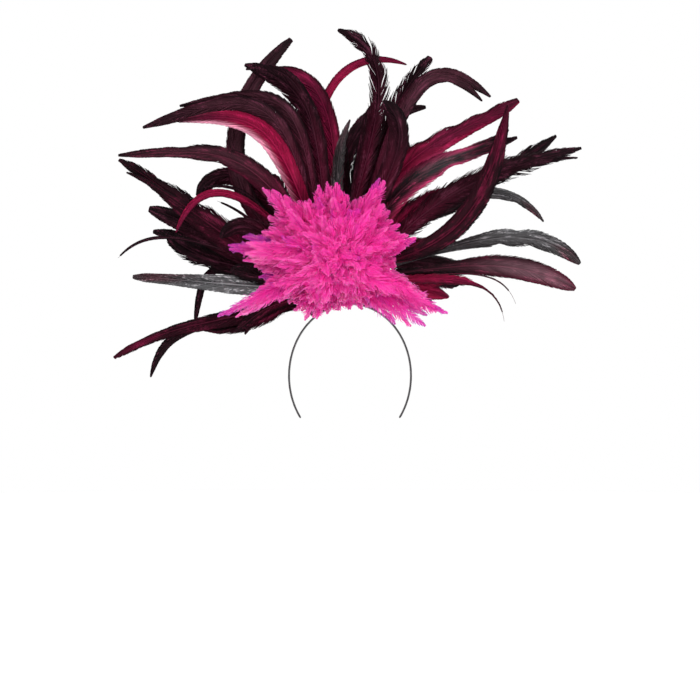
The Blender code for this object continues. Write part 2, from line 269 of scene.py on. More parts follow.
@dataclass(frozen=True)
class PlumeFinish:
    """Dyed barbs, each a little lighter or darker than the next, with fine barbules and painted highlight
    streaks.
    """

    name: str
    roughness: float
    contrast: float
    mottling: float
    gloss: float
    specular: float
    # gleam and gleam_amount: colour and strength of the painted highlight streaks
    gleam: Color
    gleam_amount: float
    softness: float = 0.0
    rib: float = 0.45
    # echo and echo_lift: how far the painted highlight's colour follows the dye, and how much paler it is
    echo: float = 0.0
    echo_lift: float = 3.0
    streak_scale: float = 26.0
    lanes: float = 3.2
    rim_start: float = 0.25
    mottle_scale: float = 70.0
    barbule_scale: float = 42.0
    grain_scale: float = 900.0
    gleam_start: float = 0.50
    gleam_full: float = 0.72
    rib_reach: float = 0.06
    relief: float = 0.0002
    patchy_roughness: float = 0.22
    barb_roughness: float = 0.12

    def material(self) -> bpy.types.Material:
        """Builds the material from the dyes that the barbs carry.

        Returns:
            The material.
        """
        material, graph = new_material(self.name)
        heart, rim = graph.attribute("heart"), graph.attribute("rim")
        lot, reach, travel = (graph.attribute(name, "Fac") for name in ("lot", "reach", "travel"))
        place = graph.place()
        blotch = graph.noise(place, self.mottle_scale, 3.0, 0.6)
        lane = graph.node("ShaderNodeCombineXYZ", None,
                          {"X": travel * self.streak_scale, "Y": reach * self.lanes})
        streak = graph.noise(lane, 1.0, 3.0, 0.6)
        dye = graph.blend(graph.steps(reach, self.rim_start, 1.0), heart, rim)
        # Painted highlight: lengthwise streaks are mixed towards the gleam colour. The barbs next to the
        # shaft (rib) take that paler colour too. From here dye also carries the painted highlight.
        lit = graph.steps(streak + (blotch - 0.5) * 0.4, self.gleam_start, self.gleam_full)
        shine = lit * self.gleam_amount
        rib = (1.0 - graph.steps(reach, 0.0, self.rib_reach)) * self.rib
        pale = graph.blend(self.echo, self.gleam, dye * self.echo_lift)
        dye = graph.blend(shine.math("MAXIMUM", shine, rib), dye, pale)
        tint = (lot * 0.5 + streak - 0.25) * self.contrast
        light = (1.0 - self.contrast / 2 + tint) * (1.0 - self.mottling / 2 + blotch * self.mottling)
        barbules = (reach * self.barbule_scale * math.tau).sine()
        grain = graph.noise(place, self.grain_scale, 1.0)
        bump = graph.bump(barbules * 0.3 + grain, 0.25, self.relief)
        rough = self.roughness + (blotch - 0.5) * self.patchy_roughness + (lot - 0.5) * self.barb_roughness
        principled(graph, {"Base Color": dye * light, "Roughness": rough, "Normal": bump},
                   {"Coat Weight": self.gloss, "Coat Roughness": 0.30, "Subsurface Weight": self.softness,
                    "Subsurface Scale": 0.004, "Subsurface Radius": (1.0, 1.0, 1.0),
                    "Specular IOR Level": self.specular})
        return material


@dataclass(frozen=True)
class FeltFinish:
    """Craft felt: matted fibres in slightly different greys."""

    name: str = "black_felt"
    dark: Color = (0.010, 0.009, 0.010)
    pale: Color = (0.030, 0.027, 0.029)
    fibre_scale: float = 420.0
    cloud_scale: float = 60.0
    relief: float = 0.0006
    roughness: float = 0.88

    def material(self) -> bpy.types.Material:
        """Builds the felt.

        Returns:
            The material.
        """
        material, graph = new_material(self.name)
        place = graph.place()
        stretch = graph.node("ShaderNodeMapping", None, {"Vector": place, "Scale": (1.0, 1.0, 3.0)})
        fibres = graph.noise(stretch, self.fibre_scale, 5.0, 0.7)
        cloud = graph.noise(place, self.cloud_scale, 3.0)
        dye = graph.blend(fibres * 0.7 + cloud * 0.3, self.dark, self.pale)
        bump = graph.bump(fibres + cloud * 0.6, 0.7, self.relief)
        rough = self.roughness + cloud * 0.1
        principled(graph, {"Base Color": dye, "Roughness": rough, "Normal": bump},
                   {"Specular IOR Level": 0.10, "Sheen Weight": 0.03, "Sheen Roughness": 0.5})
        return material


@dataclass(frozen=True)
class SatinFinish:
    """Satin ribbon: fine threads across the band and a soft sheen."""

    name: str = "black_satin"
    dark: Color = (0.008, 0.007, 0.008)
    pale: Color = (0.028, 0.024, 0.027)
    thread_scale: float = 1400.0
    wear_scale: float = 90.0
    relief: float = 0.0002
    roughness: float = 0.34

    def material(self) -> bpy.types.Material:
        """Builds the satin from the band's own lengthwise map.

        Returns:
            The material.
        """
        material, graph = new_material(self.name)
        place = graph.place()
        along = graph.attribute("along", "Fac")
        worn = graph.noise(place, self.wear_scale, 4.0, 0.6)
        threads = (along * self.thread_scale * math.tau).sine() * 0.5 + 0.5
        dye = graph.blend(threads * 0.5 + worn * 0.5, self.dark, self.pale)
        bump = graph.bump(threads + worn * 0.8, 0.3, self.relief)
        rough = self.roughness + worn * 0.18
        principled(graph, {"Base Color": dye, "Roughness": rough, "Normal": bump},
                   {"Specular IOR Level": 0.35, "Sheen Weight": 0.03, "Sheen Roughness": 0.35})
        return material


@dataclass(frozen=True)
class ThreadFinish:
    """Twisted cotton thread."""

    name: str = "stitch_thread"
    dark: Color = (0.020, 0.017, 0.018)
    pale: Color = (0.070, 0.060, 0.064)
    twist_scale: float = 1800.0
    relief: float = 0.0002
    roughness: float = 0.6

    def material(self) -> bpy.types.Material:
        """Builds the thread.

        Returns:
            The material.
        """
        material, graph = new_material(self.name)
        place = graph.place()
        twist = graph.noise(place, self.twist_scale, 2.0)
        bump = graph.bump(twist, 0.6, self.relief)
        dye = graph.blend(twist, self.dark, self.pale)
        principled(graph, {"Base Color": dye, "Normal": bump}, {"Roughness": self.roughness})
        return material


@dataclass(frozen=True)
class PaleFloorFinish:
    """A matt near-white floor."""

    name: str = "pale_floor"
    dark: Color = (0.90, 0.90, 0.90)
    pale: Color = (0.93, 0.93, 0.93)
    cloud_scale: float = 2.0
    roughness: float = 0.9

    def material(self) -> bpy.types.Material:
        """Builds the floor's surface.

        Returns:
            The material.
        """
        material, graph = new_material(self.name)
        place = graph.place()
        cloud = graph.noise(place, self.cloud_scale, 2.0)
        dye = graph.blend(cloud, self.dark, self.pale)
        principled(graph, {"Base Color": dye}, {"Roughness": self.roughness, "Specular IOR Level": 0.1})
        return material


class Tone(Enum):
    """The record's material slots for the long feathers, each with its finish."""

    # The colour in each finish is its gleam, a painted highlight along the streaks.
    BLACK = PlumeFinish("black_feather", 0.46, 1.0, 0.7, 0.0, 0.05, (0.082, 0.018, 0.036), 0.60, 0.0, 0.22)
    BURGUNDY = PlumeFinish("burgundy_feather", 0.48, 0.9, 0.6, 0.0, 0.05, (0.19, 0.016, 0.052), 0.55,
                           0.0, 0.32, 0.55)
    CRIMSON = PlumeFinish("crimson_feather", 0.50, 0.8, 0.5, 0.0, 0.05, (0.27, 0.014, 0.062), 0.45,
                          0.0, 0.30, 0.5)
    # GREY: its silver is partly grey colour and partly painted sheen of black feathers; its strong gleam is
    # painted highlight
    GREY = PlumeFinish("grey_feather", 0.36, 1.2, 0.8, 0.10, 0.22, (0.40, 0.395, 0.40), 0.95,
                       0.0, 0.35, 0.9, 5.0, 45.0, 5.0)


# The pink hackles' gleam is a painted highlight along their streaks too.
PINK_FINISH = PlumeFinish("pink_hackle", 0.80, 0.16, 0.16, 0.0, 0.04, (0.97, 0.08, 0.45), 0.40, 0.6, 0.0,
                          0.0, 1.0, 30.0, 2.0, 0.4, 110.0)


# Shapes of feathers


def read_rows(kind: type, table: str) -> tuple:
    """Reads a text table.

    Args:
        kind: The NamedTuple that a row becomes.
        table: Its first line names the columns. A field with no column keeps its default.

    Returns:
        The rows.
    """
    names, *lines = (line.split() for line in table.strip().splitlines())
    kinds = [kind.__annotations__[name] for name in names]
    rows = [[one[cell] if issubclass(one, Enum) else one(cell) for one, cell in zip(kinds, line)]
            for line in lines]
    return tuple(kind(**dict(zip(names, row))) for row in rows)


class Vane(Enum):
    """Half width of a vane along its feather, as shares of the length and of half its width."""

    BLADE = ((0.0, 0.10), (0.05, 0.45), (0.16, 0.82), (0.34, 1.0), (0.62, 1.0), (0.82, 0.92),
             (0.93, 0.70), (1.0, 0.16))
    SWORD = ((0.0, 0.10), (0.05, 0.45), (0.18, 0.86), (0.36, 1.0), (0.58, 1.0), (0.76, 0.82),
             (0.90, 0.50), (1.0, 0.12))
    SICKLE = ((0.0, 0.08), (0.06, 0.38), (0.22, 0.78), (0.44, 1.0), (0.64, 1.0), (0.82, 0.84),
              (0.94, 0.50), (1.0, 0.14))
    TAPER = ((0.0, 0.60), (0.12, 1.0), (0.36, 1.0), (0.56, 0.80), (0.76, 0.58), (0.94, 0.46),
             (1.0, 0.20))
    LANCE = ((0.0, 0.30), (0.07, 0.78), (0.26, 1.0), (0.50, 0.96), (0.66, 0.78), (0.78, 0.52),
             (0.92, 0.40), (1.0, 0.12))
    OAR = ((0.0, 0.14), (0.22, 0.28), (0.36, 0.62), (0.52, 0.98), (0.74, 1.0), (0.88, 0.82),
           (0.96, 0.54), (1.0, 0.20))
    TONGUE = ((0.0, 0.20), (0.06, 0.50), (0.20, 0.85), (0.45, 1.0), (0.75, 1.0), (0.90, 0.82),
              (0.97, 0.55), (1.0, 0.30))
    STREAMER = ((0.0, 0.70), (0.25, 1.0), (0.42, 0.90), (0.54, 0.42), (0.64, 0.20), (0.85, 0.13),
                (1.0, 0.06))
    WISP = ((0.0, 0.0), (0.12, 0.3), (0.40, 0.9), (0.70, 1.0), (0.90, 0.7), (1.0, 0.2))
    HACKLE = ((0.0, 0.0), (0.10, 0.0), (0.20, 0.70), (0.48, 1.0), (0.74, 0.94), (0.91, 0.62), (1.0, 0.16))


class Stop(NamedTuple):
    """The colours at one place along a feather: at its shaft and at its two edges."""

    share: float
    heart: Dye
    right: Dye
    left: Dye


def stops(*rows: tuple[float, str]) -> tuple[Stop, ...]:
    """Stops from rows of a share and the names of the dyes at the shaft, the right and the left edge."""
    return tuple(Stop(share, *(Dye[name] for name in names.split())) for share, names in rows)


class Coat(Enum):
    """How a feather's colours run from its quill to its tip; some are partly painted light, as marked."""

    INK = stops((0.0, "WINE INK INK"), (1.0, "INK INK INK"))
    WINE = stops((0.0, "BURGUNDY WINE WINE"), (0.5, "WINE INK WINE"), (1.0, "INK INK INK"))
    DUSK = stops((0.0, "BURGUNDY WINE BURGUNDY"), (0.4, "DUSK INK WINE"), (0.75, "DUSK WINE DUSK"),
                 (1.0, "INK INK INK"))
    BURGUNDY = stops((0.0, "CRIMSON BURGUNDY WINE"), (0.5, "BURGUNDY WINE BURGUNDY"),
                     (0.85, "BURGUNDY WINE WINE"), (1.0, "WINE INK INK"))
    CRIMSON = stops((0.0, "BURGUNDY CRIMSON BURGUNDY"), (0.45, "CRIMSON CRIMSON BURGUNDY"),
                    (1.0, "BURGUNDY CRIMSON BURGUNDY"))
    # BLUSH's rose edge and the petal edges of FLUSH and ROSE_EDGE are painted light shining through thin
    # vanes.
    BLUSH = stops((0.0, "BURGUNDY CRIMSON CRIMSON"), (0.3, "CRIMSON CRIMSON ROSE"),
                  (0.6, "CRIMSON CRIMSON ROSE"), (0.85, "BURGUNDY DUSK ROSE"), (1.0, "INK WINE DUSK"))
    RUBY = stops((0.0, "WINE INK WINE"), (0.7, "WINE INK WINE"), (0.85, "BURGUNDY WINE WINE"),
                 (1.0, "WINE BURGUNDY WINE"))
    FLUSH = stops((0.0, "BURGUNDY CRIMSON BURGUNDY"), (0.3, "CRIMSON PETAL WINE"),
                  (0.55, "BURGUNDY CRIMSON WINE"), (0.85, "BURGUNDY BURGUNDY WINE"),
                  (1.0, "WINE CRIMSON WINE"))
    EMBER = stops((0.0, "CRIMSON BURGUNDY CRIMSON"), (0.45, "BURGUNDY WINE CRIMSON"),
                  (0.7, "WINE INK WINE"), (1.0, "INK INK INK"))
    # The silver parts of PEWTER and STEEL are partly painted sheen of black feathers.
    PEWTER = stops((0.0, "SILVER INK SILVER"), (0.4, "SILVER SILVER SILVER"), (0.65, "ASH DUSK SILVER"),
                   (0.85, "DUSK WINE ASH"), (1.0, "INK INK DUSK"))
    MAUVE = stops((0.0, "INK INK INK"), (0.35, "DUSK WINE WINE"), (0.6, "HEATHER BURGUNDY DUSK"),
                  (0.85, "HEATHER BURGUNDY BURGUNDY"), (1.0, "DUSK BURGUNDY BURGUNDY"))
    ROSE_EDGE = stops((0.0, "WINE CRIMSON CRIMSON"), (0.35, "INK PETAL BURGUNDY"),
                      (0.6, "ASH PETAL PETAL"), (0.8, "INK DUSK DUSK"), (1.0, "INK INK INK"))
    STEEL = stops((0.0, "INK INK INK"), (0.34, "INK INK INK"), (0.5, "ASH INK SILVER"),
                  (0.78, "ASH INK INK"), (0.86, "WINE BURGUNDY INK"), (1.0, "INK INK INK"))
    SMOKE = stops((0.0, "INK INK INK"), (0.6, "INK INK WINE"), (1.0, "WINE INK INK"))
    PINK = stops((0.0, "HOT_PINK MAGENTA HOT_PINK"), (0.4, "HOT_PINK HOT_PINK HOT_PINK"),
                 (1.0, "CANDY HOT_PINK CANDY"))
    # ORCHID and GRAPE: violet tips, partly dyed and partly painted shade at the mound's edge
    ORCHID = stops((0.0, "MAGENTA VIOLET MAGENTA"), (0.6, "HOT_PINK MAGENTA HOT_PINK"),
                   (1.0, "MAGENTA VIOLET VIOLET"))
    GRAPE = stops((0.0, "VIOLET VIOLET VIOLET"), (0.6, "VIOLET MAGENTA VIOLET"),
                  (1.0, "MAGENTA VIOLET VIOLET"))


@dataclass(frozen=True)
class Barbing:
    """How a feather's barbs are set, as inputs of the plumage tree.

    Lengths are metres and angles are degrees from the shaft. ragged, clump, fluff and camber are
    shares of the vane's half width.
    """

    spacing: float
    width: float
    root_angle: float
    tip_angle: float
    ragged: float
    clump: float
    fluff: float
    camber: float = 0.14
    quill: float = 0.0011
    points: int = 5


class Barbs(Enum):
    """The ways in which a feather's barbs are set."""

    SLEEK = Barbing(0.00150, 0.0021, 16.0, 12.0, 0.05, 0.14, 0.03)
    SHAGGY = Barbing(0.00150, 0.0019, 19.0, 14.0, 0.15, 0.45, 0.08)
    SPIKY = Barbing(0.00150, 0.0016, 26.0, 18.0, 0.38, 0.85, 0.22)
    DOWNY = Barbing(0.00165, 0.0014, 40.0, 28.0, 0.45, 0.80, 0.60, 0.20, 0.0005, 4)


class Plume(NamedTuple):
    """A long feather: the course of its shaft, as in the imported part, and its look.

    Angles are degrees, and lengths are shares. A side tip takes its feather's own tone and barbs, and
    the back plumes are all shaggy, so their tables leave those columns out.
    """

    name: str
    root: float
    launch: float
    reach: float
    rise: float
    heading: float
    push: float
    draw: float
    width: float
    layer: float
    vane: Vane
    coat: Coat
    tone: Tone = Tone.BLACK
    barbs: Barbs = Barbs.SHAGGY


PLUMES = read_rows(Plume, """
    name     root launch  reach  rise heading push draw width layer vane     coat      tone     barbs
    left_1    203    196  -0.85 -0.26     255 0.62 0.35  0.48     3 SICKLE   INK       BLACK    SLEEK
    left_2    197    204  -1.00 -0.19     212 0.42 0.40  0.84     1 TAPER    RUBY      BURGUNDY SHAGGY
    left_3    188    178  -0.91  0.10     177 0.40 0.35  0.90    -2 TAPER    PEWTER    GREY     SLEEK
    left_4    182    165  -0.66 -0.06     262 0.85 0.60  0.36     4 TONGUE   INK       BLACK    SLEEK
    left_5    177    166  -0.78  0.26     140 0.50 0.35  1.12     2 BLADE    INK       BLACK    SHAGGY
    left_6    172    160  -0.98  0.17     228 0.60 0.28  0.15     0 WISP     INK       BLACK    SLEEK
    left_7    168    178  -0.84  0.27     170 0.35 0.40  0.68     4 TONGUE   WINE      BLACK    SLEEK
    left_8    164    178  -0.85  0.35     163 0.35 0.40  1.04     1 TONGUE   WINE      BLACK    SLEEK
    left_9    159    172  -0.97  0.52     152 0.35 0.35  1.42  -1.5 LANCE    WINE      BURGUNDY SHAGGY
    left_10   154    140  -0.54  0.24     228 0.60 0.40  0.85    -5 BLADE    WINE      BLACK    SLEEK
    left_11   149    148  -0.25  0.96      42 0.38 0.56  0.92     0 TONGUE   DUSK      BLACK    SLEEK
    left_12   144    130  -0.73  0.26     250 0.80 0.45  0.38  -2.5 SICKLE   CRIMSON   CRIMSON  SLEEK
    left_13   139    121  -0.65  0.40     238 0.75 0.35  0.85     2 BLADE    WINE      BLACK    SLEEK
    left_14   133    118 -0.955 0.525     184 0.58 0.45  1.04    -6 LANCE    DUSK      BURGUNDY SLEEK
    left_15   127     98  -0.86  0.63     199 0.81 0.56  0.84    -4 SICKLE   DUSK      BLACK    SLEEK
    left_16   122    110  -0.71  0.65     190 0.62 0.50  1.00    -5 SWORD    BLUSH     CRIMSON  SLEEK
    left_17   117     98  -0.71  0.71     188 0.83 0.57  0.80    -3 SICKLE   DUSK      BLACK    SLEEK
    top_1     112    102   0.24  0.88     -20 0.75 0.35  0.42     3 SICKLE   CRIMSON   CRIMSON  SLEEK
    top_2     107     97  -0.44  0.86     166 0.55 0.40  0.98    -2 BLADE    WINE      BLACK    SHAGGY
    top_3     102     98  -0.10  0.56      95 0.40 0.35  1.00     5 BLADE    WINE      BLACK    SLEEK
    top_4      97     90  -0.34  0.85     184 0.55 0.36  0.90     1 BLADE    BURGUNDY  CRIMSON  SLEEK
    top_5      92     95   0.00  0.66      65 0.40 0.35  0.60    -4 SWORD    SMOKE     GREY     SPIKY
    top_6      88     88  -0.03  0.60      80 0.40 0.35  0.90     4 BLADE    WINE      BLACK    SLEEK
    top_7      84     76  -0.05  0.99     158 0.60 0.35  0.98    -1 BLADE    WINE      BLACK    SPIKY
    top_8    80.5     75   0.10  0.74      80 0.40 0.35  0.85     4 BLADE    WINE      BLACK    SLEEK
    right_1    77     74   0.34  0.90      50 0.50 0.35  1.12     1 TONGUE   WINE      BLACK    SPIKY
    top_9      74     66   0.17  0.70     100 0.45 0.35  1.00     6 BLADE    WINE      BLACK    SLEEK
    right_2  70.5     62   0.14  0.73     140 0.60 0.30  1.00    -3 BLADE    WINE      BLACK    SLEEK
    right_3    67     74   0.59  0.75     -39 0.80 0.45  0.74    -1 SICKLE   DUSK      BLACK    SLEEK
    right_4    62     70   0.32  0.72       5 0.60 0.40  0.55     2 TONGUE   DUSK      BLACK    SLEEK
    right_5    57     80   0.71  0.74      30 0.45 0.40  1.38     0 TAPER    FLUSH     BURGUNDY SLEEK
    right_6    51     74   0.70  0.60      20 0.43 0.44  1.22    -2 LANCE    ROSE_EDGE BURGUNDY SHAGGY
    right_14   48     44   0.55  0.42       5 0.50 0.40  0.90     2 BLADE    BURGUNDY  CRIMSON  SPIKY
    right_7    44     48   0.83  0.31     -55 0.50 0.35  0.64     5 SICKLE   STEEL     GREY     SLEEK
    right_8    38     50   0.88  0.62      40 0.35 0.30  1.22     3 SWORD    INK       BLACK    SHAGGY
    right_9    32     52   0.98  0.57      14 0.38 0.35  1.24     1 SWORD    WINE      BLACK    SPIKY
    right_10   25     12   0.66  0.71      79 0.46 0.40  1.00    -3 SWORD    RUBY      CRIMSON  SLEEK
    right_11   17     18   0.97  0.15     -44 0.45 0.34  0.88     0 OAR      STEEL     GREY     SLEEK
    right_12    9      8   0.96  0.06     -28 0.45 0.35  1.12     3 OAR      MAUVE     BURGUNDY SLEEK
    right_13    1      4   0.65 -0.06     278 0.60 0.35  0.52    -1 STREAMER EMBER     CRIMSON  SPIKY
    right_15   -7     -3   0.42  0.03     -20 0.45 0.35  0.90     4 SWORD    CRIMSON   BURGUNDY SHAGGY
""")

SPURS = read_rows(Plume, """
    name     root launch  reach   rise heading push draw width layer vane   coat
    left_9    159    172 -0.938  0.475     160 0.35 0.30  0.62  -1.5 LANCE  WINE
    right_3    67     74  0.555  0.735     -46 0.80 0.45  0.60    -1 SICKLE DUSK
    right_9    32     52  0.965  0.535       0 0.38 0.30  0.60     1 SWORD  WINE
    right_6    51     75  0.665  0.625      30 0.45 0.35  0.42    -2 SICKLE ROSE_EDGE
    top_2     107     97 -0.435  0.845     190 0.55 0.38  0.60    -2 SICKLE WINE
    left_2    206    190 -0.444 -0.105     246 0.50 0.50  0.48     1 BLADE  INK
    left_2    211    195 -0.351 -0.064     252 0.50 0.50  0.40     2 BLADE  INK
    left_2    203    188 -0.490 -0.098     216 0.50 0.45  0.55     0 SICKLE WINE
    left_2    198    202 -0.676 -0.080     190 0.40 0.35  0.80     2 SICKLE INK
    left_2    200    207  -0.62 -0.090     184 0.40 0.40  0.90   1.5 SWORD  WINE
    left_5    184    170  -0.50  0.125     172 0.45 0.35  0.85    -3 BLADE  INK
    left_10   152    128 -0.634  0.423     190 0.50 0.45  0.16  -0.5 WISP   INK
    left_10   156    142 -0.560  0.375     160 0.45 0.35  0.12  -0.5 WISP   INK
    right_13    3      6   0.70  0.005     290 0.60 0.30  0.07     0 WISP   INK
    right_13   -1     -4   0.42   0.10       8 0.45 0.35  0.80     1 BLADE  CRIMSON
    right_14   46     40   0.42   0.41      12 0.45 0.35  0.95     3 BLADE  CRIMSON
    right_15   -9     -8   0.35   0.01     -14 0.45 0.35  0.70     5 BLADE  EMBER
""")

BACK_PLUMES = read_rows(Plume, """
    name   root launch reach  rise heading push draw width layer vane  coat     tone
    far_1   124    118 -0.25  0.58     108 0.45 0.35  1.05     6 BLADE WINE     BLACK
    far_2   116    110 -0.19  0.64     100 0.45 0.35  1.05     7 BLADE WINE     BLACK
    far_3   107    103 -0.10  0.61      92 0.45 0.35  1.05     6 BLADE WINE     BLACK
    far_4    99     96 -0.03  0.60      92 0.45 0.35  1.00     7 BLADE BURGUNDY BURGUNDY
    far_5    94     99 0.090  0.72      56 0.45 0.35  1.00     6 BLADE WINE     BLACK
    far_6    84     80  0.10  0.69      84 0.45 0.35  1.10     7 BLADE INK      BLACK
    far_7    77     71  0.18  0.70      96 0.45 0.35  1.10     5 BLADE WINE     BLACK
    far_8    68     61  0.23  0.63      92 0.45 0.35  1.10     7 BLADE INK      BLACK
    far_9    62     82  0.36  0.53      18 0.50 0.35  1.05     6 SWORD CRIMSON  BURGUNDY
    far_10   50     48  0.40  0.40      14 0.45 0.35  1.00     7 SWORD WINE     BURGUNDY
    far_11   42     50  0.50  0.38      14 0.45 0.35  0.90     6 BLADE WINE     BLACK
    far_12   33     28  0.47  0.23      12 0.45 0.35  0.95     7 SWORD BURGUNDY BURGUNDY
    far_13   20     14  0.52  0.13      -8 0.45 0.35  0.95     6 BLADE INK      BLACK
    far_14   10      4  0.47  0.08     -14 0.45 0.35  0.95     7 BLADE WINE     BLACK
    far_15    2      0  0.40 0.045     -22 0.45 0.35  0.90     6 SWORD CRIMSON  CRIMSON
    far_16  185    177 -0.50  0.13     176 0.45 0.35  0.90     6 BLADE INK      BLACK
    far_17  179    168 -0.62  0.18     168 0.45 0.35  1.05     7 BLADE INK      BLACK
    far_18  173    166 -0.66  0.25     150 0.45 0.35  1.05     6 BLADE WINE     BLACK
    far_19  165    160 -0.60  0.30     150 0.45 0.35  1.00     7 BLADE WINE     BLACK
    far_20  143    135 -0.41  0.42     110 0.45 0.35  1.00     6 BLADE WINE     BLACK
    far_21  133    127 -0.33  0.48     110 0.45 0.35  1.05     7 BLADE BURGUNDY BURGUNDY
""")


class Notch(NamedTuple):
    """A gap in one edge of a vane: where it is, and its depth and length as shares."""

    feather: str
    hand: Hand
    share: float
    depth: float
    spread: float


NOTCHES = read_rows(Notch, """
    feather  hand  share depth spread
    right_5  LEFT  0.40  0.30  0.03
    right_5  LEFT  0.56  0.35  0.04
    right_5  LEFT  0.72  0.30  0.04
    right_5  LEFT  0.86  0.30  0.03
    right_11 RIGHT 0.52  0.45  0.03
    right_11 RIGHT 0.70  0.35  0.03
    right_11 LEFT  0.62  0.30  0.03
    left_9   RIGHT 0.58  0.30  0.03
    left_9   RIGHT 0.80  0.35  0.04
    right_7  RIGHT 0.80  0.30  0.04
    left_14  LEFT  0.55  0.35  0.04
    left_14  RIGHT 0.74  0.35  0.03
    left_15  LEFT  0.66  0.35  0.03
    left_15  LEFT  0.82  0.40  0.03
    left_5   LEFT  0.60  0.35  0.04
    right_3  RIGHT 0.80  0.35  0.03
    right_6  RIGHT 0.66  0.50  0.05
    right_8  LEFT  0.60  0.40  0.04
    right_8  LEFT  0.78  0.45  0.03
    right_9  RIGHT 0.58  0.45  0.04
    top_2    LEFT  0.60  0.30  0.03
    top_7    RIGHT 0.72  0.40  0.03
    top_7    LEFT  0.80  0.45  0.03
    left_17  LEFT  0.78  0.35  0.03
""")


# Directions and curves


def direction(degrees: float) -> np.ndarray:
    """The unit vector at an angle in the fan's plane, from +X towards +Z."""
    angle = math.radians(degrees)
    return np.array((math.cos(angle), 0.0, math.sin(angle)))


def unit(vectors: np.ndarray) -> np.ndarray:
    """Vectors of length 1 in the same directions."""
    return vectors / np.linalg.norm(vectors, axis=-1, keepdims=True)


def cubic(controls: tuple, shares: np.ndarray) -> np.ndarray:
    """Points on a cubic curve through four controls.

    Args:
        controls: The four controls.
        shares: Places along the curve, from 0 to 1.

    Returns:
        A point for each share.
    """
    a, b, c, d = controls
    t = shares[:, None]
    s = 1.0 - t
    return a * s ** 3 + b * 3 * s * s * t + c * 3 * s * t * t + d * t ** 3


def read_table(table: tuple, shares: np.ndarray) -> np.ndarray:
    """Reads a table of pairs at many shares, with its corners rounded off.

    Args:
        table: Pairs of a share and a value.
        shares: Where it is read.

    Returns:
        A value for each share.
    """
    places = [place for place, _ in table]
    values = [value for _, value in table]
    read = np.interp(shares, places, values)
    for _ in range(2):
        read[1:-1] = (read[:-2] + 2 * read[1:-1] + read[2:]) / 4
    return read


@dataclass(frozen=True)
class Strand:
    """One feather's shaft, with its vane's half widths and dyes at each point."""

    points: np.ndarray
    side: np.ndarray
    face: np.ndarray
    width_right: np.ndarray
    width_left: np.ndarray
    heart: np.ndarray
    rim_right: np.ndarray
    rim_left: np.ndarray


def dyes_along(coat: Coat, shares: np.ndarray) -> dict[str, np.ndarray]:
    """The dyes of a coat at many shares of the length.

    Args:
        coat: The coat to read.
        shares: Where it is read.

    Returns:
        Colours for the shaft and the two edges, by the names of a strand's fields.
    """
    places = [stop.share for stop in coat.value]
    found = {}
    for label, column in (("heart", "heart"), ("rim_right", "right"), ("rim_left", "left")):
        colors = np.array([getattr(stop, column).value for stop in coat.value])
        channels = [np.interp(shares, places, colors[:, k]) for k in range(3)]
        found[label] = np.stack(channels, axis=1)
    return found


def mesh_of_strands(name: str, strands: list[Strand]) -> bpy.types.Mesh:
    """A mesh of plain edges that carries what the plumage tree reads.

    Args:
        name: The mesh's name.
        strands: The feathers' shafts.

    Returns:
        The mesh, with the fields of its strands as attributes.
    """
    points = np.concatenate([strand.points for strand in strands])
    edges = []
    start = 0
    for strand in strands:
        count = len(strand.points)
        edges += [(start + i, start + i + 1) for i in range(count - 1)]
        start += count
    mesh = bpy.data.meshes.new(name)
    mesh.from_pydata(points.tolist(), edges, [])
    columns = {"width_right": "FLOAT", "width_left": "FLOAT", "side": "FLOAT_VECTOR",
               "face": "FLOAT_VECTOR", "heart": "FLOAT_COLOR", "rim_right": "FLOAT_COLOR",
               "rim_left": "FLOAT_COLOR"}
    slots = {"FLOAT": "value", "FLOAT_VECTOR": "vector", "FLOAT_COLOR": "color"}
    for label, kind in columns.items():
        values = np.concatenate([getattr(strand, label) for strand in strands])
        if kind == "FLOAT_COLOR":
            values = np.concatenate([values, np.ones((len(values), 1))], axis=1)
        mesh.attributes.new(label, kind, "POINT").data.foreach_set(slots[kind], values.ravel())
    return mesh


# Objects


def new_object(name: str, data: bpy.types.ID) -> bpy.types.Object:
    """An object in the scene, at the origin.

    Args:
        name: The object's name.
        data: Its mesh, light or camera.

    Returns:
        The object.
    """
    obj = bpy.data.objects.new(name, data)
    bpy.context.scene.collection.objects.link(obj)
    return obj


def closed_shell(name: str, rings: Iterable[Iterable], material: bpy.types.Material) -> bpy.types.Object:
    """A smooth shell over rings of as many points each, closed at its first and last ring.

    Args:
        name: The piece's name.
        rings: The rings of points, in order.
        material: Its finish.

    Returns:
        The piece.
    """
    bm = bmesh.new()
    rows = [[bm.verts.new(point) for point in ring] for ring in rings]
    for near, far in zip(rows, rows[1:]):
        for i in range(len(near)):
            j = (i + 1) % len(near)
            bm.faces.new((near[i], near[j], far[j], far[i]))
    bm.faces.new(rows[0])
    bm.faces.new(rows[-1])
    bmesh.ops.recalc_face_normals(bm, faces=bm.faces)
    mesh = bpy.data.meshes.new(name)
    bm.to_mesh(mesh)
    bm.free()
    mesh.shade_smooth()
    mesh.materials.append(material)
    return new_object(name, mesh)


def dress(obj: bpy.types.Object, nodes: tuple[str, ...], slot: str) -> None:
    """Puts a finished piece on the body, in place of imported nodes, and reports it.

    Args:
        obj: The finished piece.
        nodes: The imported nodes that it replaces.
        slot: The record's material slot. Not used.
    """
    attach(obj, ROOT_BODY)
    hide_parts(*nodes)
    LOG.info("%s: %d faces", obj.name, len(obj.data.polygons))


# Node trees that grow barbs and stitches


